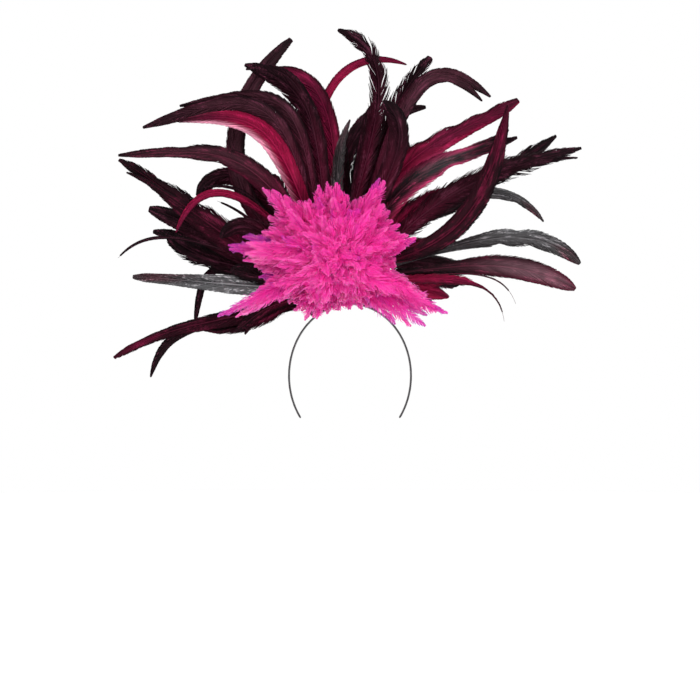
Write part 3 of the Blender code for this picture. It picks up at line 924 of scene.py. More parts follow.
class GrowthTree:
    """A Geometry Nodes tree with named inputs, which is baked into a plain mesh."""

    def __init__(self, name: str, inputs: dict[str, str]) -> None:
        """Starts a tree.

        Args:
            name: The tree's name.
            inputs: The kind of socket of each named input.
        """
        self.tree = bpy.data.node_groups.new(name, "GeometryNodeTree")
        self.identifiers: dict[str, str] = {}
        interface = self.tree.interface
        interface.new_socket(name="Geometry", in_out="INPUT", socket_type="NodeSocketGeometry")
        for label, kind in inputs.items():
            item = interface.new_socket(name=label, in_out="INPUT", socket_type=kind)
            self.identifiers[label] = item.identifier
        interface.new_socket(name="Geometry", in_out="OUTPUT", socket_type="NodeSocketGeometry")
        self.graph = Graph(self.tree)
        self.inputs = self.tree.nodes.new("NodeGroupInput")

    def given(self, label: str) -> Wire:
        """A named input."""
        return Wire(self.graph, self.inputs.outputs[label])

    def stored(self, name: str, data_type: str = "FLOAT") -> Wire:
        """An attribute of the geometry."""
        return self.graph.node("GeometryNodeInputNamedAttribute", {"data_type": data_type}, {"Name": name})

    def keep(self, geometry: Wire, name: str, value: Value, data_type: str = "FLOAT") -> Wire:
        """Stores a value on the geometry's points.

        Args:
            geometry: The geometry that carries the value.
            name: The attribute's name.
            value: What is stored.
            data_type: The attribute's kind.

        Returns:
            The geometry with its attribute.
        """
        settings = {"data_type": data_type, "domain": "POINT"}
        sockets = {"Geometry": geometry, "Name": name, "Value": value}
        return self.graph.node("GeometryNodeStoreNamedAttribute", settings, sockets)

    def finish(self, parts: list[Wire]) -> None:
        """Joins the parts, realizes their instances and gives them the material.

        Args:
            parts: The geometries to join.
        """
        node = self.graph.node
        joined = node("GeometryNodeJoinGeometry", None, {"Geometry": parts})
        smooth = node("GeometryNodeSetShadeSmooth", None, {"Geometry": joined, "Shade Smooth": True})
        real = node("GeometryNodeRealizeInstances", None, {"Geometry": smooth})
        dressed = node("GeometryNodeSetMaterial", None,
                       {"Geometry": real, "Material": self.given("Material")})
        node("NodeGroupOutput", None, {"Geometry": dressed})

    def bake(self, obj: bpy.types.Object, values: dict[str, Value], kept: tuple[str, ...]) -> None:
        """Turns an object into the plain mesh that the tree grows from it.

        Args:
            obj: The object that holds the tree's input.
            values: The value of each named input.
            kept: Attributes that the finished mesh keeps.
        """
        modifier = obj.modifiers.new(self.tree.name, "NODES")
        modifier.node_group = self.tree
        for label, value in values.items():
            modifier[self.identifiers[label]] = value
        graph = bpy.context.evaluated_depsgraph_get()
        mesh = bpy.data.meshes.new_from_object(obj.evaluated_get(graph), preserve_all_data_layers=True,
                                               depsgraph=graph)
        obj.modifiers.remove(modifier)
        spare = [a.name for a in mesh.attributes if not a.is_internal and not a.is_required
                 and a.name not in kept and a.name not in ("sharp_face", "material_index", "UVMap")]
        for name in spare:
            mesh.attributes.remove(mesh.attributes[name])
        mesh.name = obj.name
        obj.data = mesh


class PlumageTree(GrowthTree):
    """Grows a shaft and two rows of barbs along each strand."""

    KEPT = ("heart", "rim", "reach", "lot", "travel")
    BARB_SIDES = 3
    QUILL_SIDES = 6
    QUILL_STEP = 0.005
    LEAST_WIDTH = 0.0007
    FLATNESS = 0.30
    QUILL_LOT = 0.35
    QUILL_TAPER = 0.82
    BARB_TAPER = 0.72
    BARB_LIFT = 0.0012
    DRIFT_SCALE = 26.0
    DRIFT_STEP = 3.7
    SEED_STEP = 7.0
    ANGLE_SPREAD = 0.16
    FLUFF_SCALE = 120.0
    FLUFF_LIFT = 4.0

    def __init__(self) -> None:
        """Builds the tree."""
        number, whole = "NodeSocketFloat", "NodeSocketInt"
        super().__init__("plumage", {
            "Spacing": number, "Barb width": number, "Root angle": number, "Tip angle": number,
            "Ragged": number, "Clump": number, "Fluff": number, "Camber": number,
            "Quill radius": number, "Barb points": whole, "Seed": whole, "Material": "NodeSocketMaterial"})
        node = self.graph.node
        curve = node("GeometryNodeMeshToCurve", None, {"Mesh": self.given("Geometry")})
        self.finish([self._quill(curve), self._vane(curve, Hand.RIGHT), self._vane(curve, Hand.LEFT)])

    def _resample(self, curve: Wire, step: Value) -> Wire:
        """The curve with a point at every step."""
        return self.graph.node("GeometryNodeResampleCurve", {"mode": "LENGTH"},
                               {"Curve": curve, "Length": step})

    def _tube(self, curve: Wire, radius: Value, sides: int) -> Wire:
        """A closed tube along a curve.

        Args:
            curve: The tube's middle line.
            radius: Its radius, fixed or along the curve.
            sides: How many sides it has.

        Returns:
            The tube's mesh.
        """
        node = self.graph.node
        ring = node("GeometryNodeCurvePrimitiveCircle", None, {"Resolution": sides, "Radius": 1.0})
        return node("GeometryNodeCurveToMesh", None,
                    {"Curve": curve, "Profile Curve": ring, "Scale": radius, "Fill Caps": True})

    def _share(self) -> Wire:
        """The share of the length along the curve being read."""
        return self.graph.node("GeometryNodeSplineParameter", None, None, "Factor")

    def _quill(self, curve: Wire) -> Wire:
        """The shaft, thinner towards its tip.

        Args:
            curve: The shafts.

        Returns:
            The tubes, with the attributes that barbs have too.
        """
        points = self._resample(curve, self.QUILL_STEP)
        share = self._share()
        points = self.keep(points, "reach", 0.0)
        points = self.keep(points, "lot", self.QUILL_LOT)
        points = self.keep(points, "travel", 0.0)
        points = self.keep(points, "rim", self.stored("heart", "FLOAT_COLOR"), "FLOAT_COLOR")
        radius = self.given("Quill radius") * (1.0 - share * self.QUILL_TAPER)
        return self._tube(points, radius, self.QUILL_SIDES)

    def _vane(self, curve: Wire, hand: Hand) -> Wire:
        """The barbs of one hand of the vane.

        Args:
            curve: The shafts.
            hand: Which half of the vane they make.

        Returns:
            The barbs as flattened tubes.
        """
        node = self.graph.node
        seed = self.given("Seed") + (1.0 + hand.value) * self.SEED_STEP
        points = self._resample(curve, self.given("Spacing"))
        share = self._share()
        drift = node("ShaderNodeTexNoise", {"noise_dimensions": "1D"},
                     {"W": share * self.DRIFT_SCALE + seed * self.DRIFT_STEP, "Scale": 1.0, "Detail": 3.0})
        lot = node("FunctionNodeRandomValue", {"data_type": "FLOAT"}, {"Seed": seed}, 1)
        rim = self.stored("rim_" + hand.label, "FLOAT_COLOR")
        points = self.keep(points, "share", share)
        points = self.keep(points, "length", node("GeometryNodeSplineLength"))
        points = self.keep(points, "lot", lot)
        points = self.keep(points, "drift", drift - 0.5)
        points = self.keep(points, "spread", self.stored("width_" + hand.label))
        points = self.keep(points, "curve", node("GeometryNodeCurveOfPoint"), "INT")
        points = self.keep(points, "rim", rim, "FLOAT_COLOR")
        wide = node("FunctionNodeCompare", {"data_type": "FLOAT", "operation": "GREATER_THAN"},
                    {0: self.stored("spread"), 1: self.LEAST_WIDTH})
        line = node("GeometryNodeCurvePrimitiveLine", None, {"Start": (0, 0, 0), "End": (0, 1, 0)})
        line = node("GeometryNodeResampleCurve", {"mode": "COUNT"},
                    {"Curve": line, "Count": self.given("Barb points")})
        barbs = node("GeometryNodeInstanceOnPoints", None,
                     {"Points": points, "Selection": wide, "Instance": line})
        barbs = node("GeometryNodeRealizeInstances", None, {"Geometry": barbs})
        barbs = self._comb(self.keep(barbs, "reach", self._share()), curve, hand)
        barbs = node("GeometryNodeSetPosition", None, {"Geometry": barbs, "Offset": self._fluff()})
        place = node("GeometryNodeInputPosition")
        barbs = self.keep(barbs, "spine", place, "FLOAT_VECTOR")
        reach = self.stored("reach")
        thin = 1.0 - reach * reach * self.BARB_TAPER
        tubes = self._tube(barbs, self.given("Barb width") * 0.5 * thin, self.BARB_SIDES)
        face = self.stored("face", "FLOAT_VECTOR")
        height = (place - self.stored("spine", "FLOAT_VECTOR")).dot(face)
        return node("GeometryNodeSetPosition", None,
                    {"Geometry": tubes, "Offset": face * (height * (self.FLATNESS - 1.0))})

    def _comb(self, barbs: Wire, curve: Wire, hand: Hand) -> Wire:
        """Lays barbs along the shaft's own course, from the shaft out to the vane's edge.

        Args:
            barbs: Straight barbs that know how far along themselves each point is.
            curve: The shaft.
            hand: Which half of the vane they make.

        Returns:
            The barbs in place, with the vane's facing at each point.
        """
        t = self.stored("reach")
        spread, lot, share = self.stored("spread"), self.stored("lot"), self.stored("share")
        first, last = self.given("Root angle"), self.given("Tip angle")
        uneven = 1.0 - self.ANGLE_SPREAD / 2 + lot * self.ANGLE_SPREAD
        angle = (first + (last - first) * share) * uneven * (math.pi / 180)
        forward = spread / angle.math("TANGENT", angle) * (t * 0.7 + t * t * 0.3)
        slip = spread * self.given("Clump") * self.stored("drift") * t * t
        room = 1.001 - share
        steps = (forward + slip) / (self.stored("length") * room)
        ahead = share + room * (1.0 - steps.math("EXPONENT", steps * -1.0))
        barbs = self.keep(barbs, "ahead", ahead)
        travel = ahead * self.stored("length") + self.given("Seed") * 0.61 + hand.value * 0.17
        barbs = self.keep(barbs, "travel", travel)
        factor = self.stored("ahead")
        side, place = self._sample(curve, self.stored("side", "FLOAT_VECTOR"), "FLOAT_VECTOR", factor)
        face, _ = self._sample(curve, self.stored("face", "FLOAT_VECTOR"), "FLOAT_VECTOR", factor)
        edge, _ = self._sample(curve, self.stored("width_" + hand.label), "FLOAT", factor)
        trim = 1.0 - self.given("Ragged") * lot * lot
        across = edge * trim * (t * 1.3 - t * t * 0.3)
        lift = (lot - 0.5) * t * self.BARB_LIFT - self.given("Camber") * edge * t * t
        barbs = self.keep(barbs, "place", place + side * (across * hand.value) + face * lift,
                          "FLOAT_VECTOR")
        barbs = self.keep(barbs, "face", face, "FLOAT_VECTOR")
        return self.graph.node("GeometryNodeSetPosition", None,
                               {"Geometry": barbs, "Position": self.stored("place", "FLOAT_VECTOR")})

    def _sample(self, curve: Wire, value: Wire, data_type: str, factor: Wire) -> tuple[Wire, Wire]:
        """Reads a value and the place at a share of the barb's own shaft.

        Args:
            curve: The shafts.
            value: What is read.
            data_type: Its kind.
            factor: The share of the shaft's length.

        Returns:
            The value and the place.
        """
        settings = {"mode": "FACTOR", "data_type": data_type, "use_all_curves": False}
        sockets = {"Curves": curve, "Value": value, "Factor": factor,
                   "Curve Index": self.stored("curve", "INT")}
        read = self.graph.node("GeometryNodeSampleCurve", settings, sockets)
        return read, Wire(self.graph, read.socket.node.outputs["Position"])

    def _fluff(self) -> Wire:
        """A wandering of the barbs that grows towards their ends.

        Returns:
            How far each point is moved.
        """
        place = self.graph.node("GeometryNodeInputPosition")
        sockets = {"Vector": place, "Scale": self.FLUFF_SCALE, "Detail": 2.0}
        wander = self.graph.node("ShaderNodeTexNoise", {"noise_dimensions": "3D"}, sockets, "Color")
        reach = self.stored("reach")
        amount = self.stored("spread") * self.given("Fluff") * reach * reach * self.FLUFF_LIFT
        return (wander - (0.5, 0.5, 0.5)) * amount

    def grow(self, name: str, strands: list[Strand], barbs: Barbs, material: bpy.types.Material,
             seed: int) -> bpy.types.Object:
        """Grows barbs along strands.

        Args:
            name: The piece's name.
            strands: The feathers' shafts.
            barbs: How their barbs are set.
            material: The finish of the piece.
            seed: The fixed seed of its irregularities.

        Returns:
            The piece, as a plain mesh.
        """
        obj = new_object(name, mesh_of_strands(name, strands))
        barbing = barbs.value
        self.bake(obj, {
            "Spacing": barbing.spacing, "Barb width": barbing.width, "Root angle": barbing.root_angle,
            "Tip angle": barbing.tip_angle, "Ragged": barbing.ragged, "Clump": barbing.clump,
            "Fluff": barbing.fluff, "Camber": barbing.camber, "Quill radius": barbing.quill,
            "Barb points": barbing.points, "Seed": seed, "Material": material}, self.KEPT)
        return obj


class StitchTree(GrowthTree):
    """Sews short thread stitches along a closed seam."""

    THREAD = 0.0008
    STITCH_SHARE = 0.62

    def __init__(self) -> None:
        """Builds the tree."""
        super().__init__("stitches", {"Step": "NodeSocketFloat", "Stitch": "NodeSocketFloat",
                                      "Thread": "NodeSocketFloat", "Material": "NodeSocketMaterial"})
        node = self.graph.node
        seam = node("GeometryNodeMeshToCurve", None, {"Mesh": self.given("Geometry")})
        points = node("GeometryNodeResampleCurve", {"mode": "LENGTH"},
                      {"Curve": seam, "Length": self.given("Step")})
        half = self.given("Stitch") * 0.5
        start = node("ShaderNodeCombineXYZ", None, {"Z": half * -1.0})
        middle = node("ShaderNodeCombineXYZ", None, {"Y": self.given("Thread") * 1.2})
        end = node("ShaderNodeCombineXYZ", None, {"Z": half})
        arch = node("GeometryNodeCurveQuadraticBezier", None,
                    {"Resolution": 5, "Start": start, "Middle": middle, "End": end})
        ring = node("GeometryNodeCurvePrimitiveCircle", None,
                    {"Resolution": 6, "Radius": self.given("Thread") * 0.5})
        stitch = node("GeometryNodeCurveToMesh", None,
                      {"Curve": arch, "Profile Curve": ring, "Fill Caps": True})
        turn = node("FunctionNodeAxesToRotation", {"primary_axis": "Z", "secondary_axis": "Y"},
                    {"Primary Axis": node("GeometryNodeInputTangent"), "Secondary Axis": (0.0, 1.0, 0.0)})
        row = node("GeometryNodeInstanceOnPoints", None,
                   {"Points": points, "Instance": stitch, "Rotation": turn})
        self.finish([row])

    def sew(self, name: str, seam: np.ndarray, step: float) -> bpy.types.Object:
        """Sews along a closed line of points.

        Args:
            name: The piece's name.
            seam: The line's points.
            step: The distance from stitch to stitch.

        Returns:
            The stitches, as a plain mesh.
        """
        mesh = bpy.data.meshes.new(name)
        count = len(seam)
        mesh.from_pydata(seam.tolist(), [(i, (i + 1) % count) for i in range(count)], [])
        obj = new_object(name, mesh)
        self.bake(obj, {"Step": step, "Stitch": step * self.STITCH_SHARE, "Thread": self.THREAD,
                        "Material": ThreadFinish().material()}, ())
        return obj


# Sub-assemblies


@dataclass(frozen=True)
class Headband:
    """The flexible band over the crown, wound in satin ribbon."""

    head_half_width: float = 0.072
    crown_rise: float = 0.085
    thickness: float = 0.0022
    top_width: float = 0.030
    end_width: float = 0.013
    end_angle: float = 126.0
    stations: int = 420
    corners: int = 20
    ribbon_pitch: float = 0.0105
    ribbon_relief: float = 0.00028
    ribbon_slant: float = 0.45
    ribbon_lap: float = 0.93
    ribbon_fall: float = 13.3
    end_rounding: float = 0.015
    end_share: float = 0.35
    side_squareness: float = 0.35
    face_squareness: float = 0.6

    def curve_point(self, angle: float, offset: float) -> tuple[float, float]:
        """A point at an angle from the top of the band, at an offset out from its inner face.

        Args:
            angle: Degrees from the top of the band.
            offset: Metres out from its inner face.

        Returns:
            The place across and up.
        """
        turn = math.radians(angle)
        across = (self.head_half_width + offset) * math.sin(turn)
        up = (self.crown_rise + offset) * math.cos(turn) - self.crown_rise
        return across, up

    def _ring(self, share: float, length: float) -> list[tuple[float, float, float]]:
        """The section at a share from -1 to 1 of the way round, with the ribbon's steps.

        Args:
            share: Where on the band.
            length: The band's whole length.

        Returns:
            The section's corners.
        """
        angle = share * self.end_angle
        width = self.top_width + (self.end_width - self.top_width) * share * share
        past = max(0.0, (abs(share) - (1.0 - self.end_rounding)) / self.end_rounding)
        rounding = math.sqrt(max(0.0, 1.0 - past ** 2))
        rounding = self.end_share + (1.0 - self.end_share) * rounding
        ring = []
        for k in range(self.corners):
            turn = math.tau * k / self.corners
            side = math.copysign(abs(math.cos(turn)) ** self.side_squareness, math.cos(turn))
            depth = math.copysign(abs(math.sin(turn)) ** self.face_squareness, math.sin(turn))
            wound = (share * length / 2 / self.ribbon_pitch + side * self.ribbon_slant) % 1.0
            step = wound if wound < self.ribbon_lap else (1.0 - wound) * self.ribbon_fall
            relief = self.ribbon_relief * step
            offset = self.thickness / 2 + depth * (self.thickness / 2 * rounding + relief * 0.5)
            across, up = self.curve_point(angle, max(offset, 0.0))
            ring.append((across, side * (width * rounding / 2), up))
        return ring

    def build(self) -> None:
        """Builds and dresses the band."""
        length = math.radians(2 * self.end_angle) * (self.head_half_width + self.crown_rise) / 2
        shares = np.linspace(-1.0, 1.0, self.stations)
        rings = [self._ring(share, length) for share in shares]
        obj = closed_shell("headband_ribbon", rings, SatinFinish().material())
        places = np.repeat(shares * length / 2, self.corners)
        obj.data.attributes.new("along", "FLOAT", "POINT").data.foreach_set("value", places)
        dress(obj, ("headband",), "band")


@dataclass(frozen=True)
class FeatherBase:
    """The felt-covered pad on the band, with its seam sewn round the rim."""

    band: Headband
    radius: float = 0.055
    depth: float = 0.044
    edge: float = 0.0035
    shift: float = -0.010
    rise: float = 0.028
    seat_gap: float = 0.0003
    outline_points: int = 144
    face_rings: int = 9
    face_middle: float = 0.004
    face_start: float = 0.08
    face_crown: float = 0.0012
    stitch_step: float = 0.0052
    stitch_lift: float = 0.0001
    stitch_inset: float = 0.0065

    @property
    def centre(self) -> np.ndarray:
        """The middle of the rim."""
        return np.array((self.shift, 0.0, self.rise))

    def outline(self, inset: float = 0.0) -> np.ndarray:
        """The rim's arc, closed below by an arc that follows the band.

        Args:
            inset: How far inside the rim it runs.

        Returns:
            Its points, in the pad's middle plane.
        """
        clearance = self.band.thickness + self.seat_gap + inset
        points = []
        for turn in np.linspace(0.0, 360.0, self.outline_points, endpoint=False):
            point = self.centre + direction(turn) * (self.radius - inset)
            across = point[0] / (self.band.head_half_width + clearance)
            if abs(across) < 1.0:
                floor = self.band.curve_point(math.degrees(math.asin(across)), clearance)[1]
                point[2] = max(point[2], floor)
            points.append(point)
        return np.array(points)

    def _face(self, side: float, shares: np.ndarray) -> Iterator[np.ndarray]:
        """Rings of the slightly crowned front, side -1, or back, side 1.

        Args:
            side: The front or the back.
            shares: How far out each ring lies, 1 at the rim.

        Returns:
            The rings, one after the other.
        """
        middle = self.centre + np.array((0.0, 0.0, self.face_middle))
        rim = self.outline(self.edge)
        for share in shares:
            ring = middle + (rim - middle) * share
            ring[:, 1] = side * (self.depth / 2 - self.face_crown * share ** 6)
            yield ring

    def _rounding(self, side: float, turns: tuple[float, ...]) -> Iterator[np.ndarray]:
        """Rings of the rounded edge at the front, side -1, or the back, side 1.

        Args:
            side: The front or the back.
            turns: Degrees round the edge.

        Returns:
            The rings, one after the other.
        """
        for turn in turns:
            ring = self.outline(self.edge * (1.0 - math.sin(math.radians(turn))))
            ring[:, 1] = side * (self.depth / 2 - self.edge * (1.0 - math.cos(math.radians(turn))))
            yield ring

    def _rings(self) -> Iterator[np.ndarray]:
        """Rings from the middle of the front, over the rim, to the middle of the back.

        Returns:
            The rings, one after the other.
        """
        shares = np.linspace(self.face_start, 1.0, self.face_rings)
        turns = (30.0, 60.0, 90.0)
        yield from self._face(-1.0, shares)
        yield from self._rounding(-1.0, turns)
        yield from self._rounding(1.0, turns[::-1])
        yield from self._face(1.0, shares[::-1])

    def build(self, stitching: StitchTree) -> None:
        """Builds the cover and its stitches.

        Args:
            stitching: The tree that sews the seam.
        """
        obj = closed_shell("feather_base_felt", self._rings(), FeltFinish().material())
        dress(obj, ("feather_base",), "felt")
        seam = self.outline(self.stitch_inset)
        seam[:, 1] = self.depth / 2 + self.stitch_lift
        dress(stitching.sew("feather_base_stitches", seam, self.stitch_step), (), "felt")


@dataclass
class TailFan:
    """The fan of long feathers that leave the pad's rim."""

    base: FeatherBase
    half_width: float = 0.284
    height: float = 0.332
    feather_width: float = 0.026
    quill_radius: float = 0.0012
    layer_tilt: float = 0.045
    layer_ease: float = 0.25
    twist: float = 26.0
    root_twist: float = 0.35
    back_seed: int = 60
    stations: int = 90
    materials: dict[Tone, bpy.types.Material] = field(default_factory=dict)

    def _shaft(self, row: Plume) -> tuple:
        """The four control points of a feather's shaft, in the fan's plane.

        Args:
            row: The feather.

        Returns:
            The controls, from the root to the tip.
        """
        slant = abs(math.sin(math.radians(row.launch - row.root))) + abs(row.layer) * self.layer_tilt
        offset = self.base.radius + self.base.seat_gap + self.quill_radius * slant
        start = self.base.centre + direction(row.root) * offset
        tip = np.array((row.reach * self.half_width, 0.0, row.rise * self.height))
        span = float(np.linalg.norm(tip - start))
        return (start, start + direction(row.launch) * span * row.push,
                tip - direction(row.heading) * span * row.draw, tip)

    def _on_layer(self, points: np.ndarray, layer: float) -> tuple[np.ndarray, np.ndarray]:
        """Puts points on their layer's surface.

        Args:
            points: Points in the fan's plane.
            layer: The layer, counted towards the back.

        Returns:
            The points, and the surface's unit normals towards the front.
        """
        outward = points - self.base.centre
        outward[:, 1] = 0.0
        radius = np.linalg.norm(outward, axis=1)
        reach = math.hypot(self.half_width, self.height)
        ease = self.layer_ease * radius / reach
        moved = points.copy()
        moved[:, 1] = layer * self.layer_tilt * radius * (1.0 - ease)
        slope = (layer * self.layer_tilt * (1.0 - 2.0 * ease) / radius)[:, None] * outward
        return moved, unit(slope + FRONT)

    def strand(self, row: Plume) -> Strand:
        """A feather's shaft, vane and dyes.

        Args:
            row: The feather.

        Returns:
            What the plumage tree reads.
        """
        shares = np.linspace(0.0, 1.0, self.stations)
        points, normals = self._on_layer(cubic(self._shaft(row), shares), row.layer)
        along = unit(np.gradient(points, axis=0))
        lay = math.radians(self.twist) * math.sin(row.root * 1.7 + row.layer * 2.9)
        turn = (lay * (self.root_twist + (1.0 - self.root_twist) * shares))[:, None]
        sides = unit(np.cross(along, normals)) * np.cos(turn) + normals * np.sin(turn)
        faces = unit(np.cross(sides, along))
        half = read_table(row.vane.value, shares) * row.width * self.feather_width / 2
        edges = {Hand.RIGHT: half.copy(), Hand.LEFT: half.copy()}
        for notch in NOTCHES:
            if notch.feather == row.name:
                gap = np.exp(-((shares - notch.share) / notch.spread) ** 2)
                edges[notch.hand] *= 1.0 - notch.depth * gap
        return Strand(points, sides, faces, edges[Hand.RIGHT], edges[Hand.LEFT],
                      **dyes_along(row.coat, shares))

    def build(self, plumage: PlumageTree) -> None:
        """Grows every feather of the tables.

        Args:
            plumage: The tree that grows the barbs.
        """
        for tone in Tone:
            self.materials[tone] = tone.value.material()
        for seed, row in enumerate(PLUMES):
            spurs = [self.strand(spur) for spur in SPURS if spur.name == row.name]
            obj = plumage.grow("plume_" + row.name, [self.strand(row)] + spurs, row.barbs,
                               self.materials[row.tone], seed)
            dress(obj, ("feather_" + row.name,), row.tone.value.name)
        for seed, tone in enumerate((Tone.BLACK, Tone.BURGUNDY, Tone.CRIMSON)):
            strands = [self.strand(row) for row in BACK_PLUMES if row.tone is tone]
            obj = plumage.grow("back_plumes_" + tone.name.lower(), strands, Barbs.SHAGGY,
                               self.materials[tone], self.back_seed + seed)
            dress(obj, (), tone.value.name)


class MoundEdge(NamedTuple):
    """How far the mound's outer hackles reach at an angle, as a share of its radius."""

    angle: float
    reach: float


MOUND_EDGE = read_rows(MoundEdge, """
    angle reach
    -154  1.30
    -139  0.84
    -126  0.80
    -114  0.80
    -102  0.70
    -90   0.64
    -77   0.64
    -64   0.70
    -51   0.80
    -40   0.90
    -26   1.56
    -12   0.80
    2     0.74
    16    1.04
    30    0.92
    44    0.92
    60    1.18
    76    0.80
    91    1.00
    105   1.00
    119   0.88
    133   1.24
    148   1.06
    164   1.12
    174   1.40
    184   1.08
    194   0.98
""")


class HackleRow(NamedTuple):
    """A ring of hackles: how many, their lean from the front, their reach, sway and place."""

    count: int
    lean: float
    reach: float
    sway: float
    lying: bool


HACKLE_ROWS = (
    HackleRow(12, 16, 0.20, 175, True),
    HackleRow(15, 28, 0.34, 140, True),
    HackleRow(20, 40, 0.48, 95, True),
    HackleRow(24, 52, 0.62, 65, True),
    HackleRow(27, 62, 0.74, 48, True),
    HackleRow(30, 72, 0.82, 36, False),
    HackleRow(30, 80, 0.90, 28, False),
)


class Hackle(NamedTuple):
    """One hackle, in degrees and metres.

    The angle is its tip's, the lean is from the front, the width is half its vane's, the roll turns
    it about its own shaft, and the sway is the turn from its tip's angle to its root's.
    """

    angle: float
    lean: float
    reach: float
    width: float
    roll: float
    coat: Coat
    sway: float = 0.0


class Tuft(NamedTuple):
    """A tuft that stands out of the mound's edge, as an angle, a reach and its coat."""

    angle: float
    reach: float
    coat: Coat


# The ORCHID and GRAPE tufts put violet round the mound's edge: partly dyed tips, partly painted shade.
TUFTS = read_rows(Tuft, """
    angle  reach coat
    -154.8 1.70  ORCHID
    -151   1.50  PINK
    -155   1.12  ORCHID
    172    1.42  ORCHID
    180    1.22  PINK
    166    1.26  GRAPE
    -32    1.34  ORCHID
    -30    1.16  GRAPE
    -43    1.02  ORCHID
    -22    1.22  PINK
    14     1.02  ORCHID
    136    1.34  PINK
    63     1.18  ORCHID
    98     1.02  PINK
    -160   0.98  GRAPE
    -42    1.26  PINK
    -37    1.40  ORCHID
    -48    1.10  ORCHID
    -168   1.04  GRAPE
    -174   1.00  ORCHID
    -119   0.88  PINK
    -131   0.86  PINK
    -110   0.80  PINK
""")


@dataclass(frozen=True)
class HackleMound:
    """The mound of short fluffy hackles over the pad's front."""

    base: FeatherBase
    radius: float = 0.092
    core_radius: float = 0.046
    shift: float = -0.004
    rise: float = 0.024
    depth: float = 0.066
    hackle_half_width: float = 0.0110
    lock_thickness: float = 0.007
    lock_bend: float = 25.0
    edge_lean: float = 88.0
    edge_tilt: float = 0.26
    orchid_reach: float = 1.25
    root_share: float = 0.35
    dome_radius: float = 0.070
    root_depth: float = 0.64
    tip_depth: float = 0.94
    lying_span: float = 52.0
    lying_bulge: float = 0.016
    backing_radius: float = 0.052
    backing_depth: float = 0.049
    backing_fullness: float = 0.7
    backing_rings: int = 16
    backing_corners: int = 48
    backing_start: float = 4.0
    collar_count: int = 32
    collar_root: float = 0.044
    collar_reach: float = 0.062
    collar_depth: float = 0.014
    collar_lift: float = 0.0015
    stations: int = 12
    seed: int = 5
    tree_seed: int = 100

    @property
    def centre(self) -> np.ndarray:
        """The middle of the mound's back, seated on the pad's front."""
        back = -(self.base.depth / 2 + self.base.seat_gap)
        return self.base.centre + np.array((self.shift, back, self.rise))

    def edge_reach(self, angle: float) -> float:
        """The mound's reach at an angle, straight between the rows of its edge.

        Args:
            angle: Degrees from +X towards +Z.

        Returns:
            The reach in metres.
        """
        first = MOUND_EDGE[0]
        places = [row.angle for row in MOUND_EDGE] + [first.angle + 360]
        shares = [row.reach for row in MOUND_EDGE] + [first.reach]
        turned = (angle - first.angle) % 360 + first.angle
        return float(np.interp(turned, places, shares)) * self.radius

    def hackle(self, row: Hackle) -> Strand:
        """A hackle rooted in the core and bent outwards.

        Args:
            row: The hackle.

        Returns:
            What the plumage tree reads.
        """
        outward = direction(row.angle)
        tilt = math.radians(row.lean)
        spread = max(0.0, row.reach - self.base.radius)
        share = self.root_share * math.sin(tilt) + abs(row.sway) / 720
        root = self.centre + direction(row.angle + row.sway) * self.core_radius * share
        root = root + FRONT * self.lock_thickness
        rise = self.depth * math.cos(tilt) + self.lock_thickness + self.edge_tilt * spread
        tip = self.centre + outward * row.reach + FRONT * rise
        bend = math.radians(max(row.lean - self.lock_bend, 0.0))
        half_way = float(np.linalg.norm(tip - root)) / 2
        middle = root + (outward * math.sin(bend) + FRONT * math.cos(bend)) * half_way
        return self._lock((root, middle, tip), direction(row.angle + 90), row)

    def lying_hackle(self, row: Hackle) -> Strand:
        """A hackle that lies over the mound's front with its broad side out.

        Args:
            row: The hackle.

        Returns:
            What the plumage tree reads.
        """
        tilt, before = math.radians(row.lean), math.radians(row.lean - self.lying_span)
        root = (self.centre + direction(row.angle + row.sway) * self.dome_radius * math.sin(before)
                * self.root_depth)
        root = root + FRONT * self.depth * math.cos(before) * self.root_depth
        front = self.depth * math.cos(tilt) * self.tip_depth + self.lock_thickness
        tip = self.centre + direction(row.angle) * row.reach + FRONT * front
        between = (tilt + before) / 2
        out = direction(row.angle + row.sway / 2) * math.sin(between) + FRONT * math.cos(between)
        middle = (root + tip) / 2 + out * self.lying_bulge
        across = unit(np.cross(tip - root, out))
        return self._lock((root, middle, tip), across, row)

    def _lock(self, controls: tuple, across: np.ndarray, row: Hackle) -> Strand:
        """A hackle along a curve of three controls, lying across a direction and then rolled.

        Args:
            controls: Its root, its middle control and its tip.
            across: The direction across its broad side.
            row: The hackle, for its width, its roll and its dyes.

        Returns:
            What the plumage tree reads.
        """
        root, middle, tip = controls
        shares = np.linspace(0.0, 1.0, self.stations)
        t = shares[:, None]
        points = root * (1 - t) ** 2 + middle * 2 * t * (1 - t) + tip * t * t
        along = unit(np.gradient(points, axis=0))
        flat = unit(np.cross(along, np.broadcast_to(across, along.shape)))
        turn = math.radians(row.roll)
        sides = unit(np.cross(along, flat * math.cos(turn) + across * math.sin(turn)))
        faces = unit(np.cross(sides, along))
        half = read_table(Vane.HACKLE.value, shares) * row.width
        return Strand(points, sides, faces, half, half, **dyes_along(row.coat, shares))

    def _row(self, row: HackleRow, chance: np.random.Generator) -> list[Strand]:
        """The hackles of one ring, each a little different.

        Args:
            row: The ring.
            chance: The source of the hackles' irregularities.

        Returns:
            Their strands.
        """
        strands = []
        place = self.lying_hackle if row.lying else self.hackle
        for i in range(row.count):
            angle = 360.0 * (i + chance.uniform(-0.35, 0.35)) / row.count
            reach = self.edge_reach(angle) * row.reach * chance.uniform(0.9, 1.08)
            lean = min(row.lean + chance.uniform(-12.0, 10.0), 86.0)
            width = self.hackle_half_width * chance.uniform(0.8, 1.15)
            coat = Coat.ORCHID if chance.random() < 0.04 else Coat.PINK
            sway = chance.uniform(-row.sway, row.sway)
            strands.append(place(Hackle(angle, lean, reach, width, chance.uniform(-24, 24), coat, sway)))
        return strands

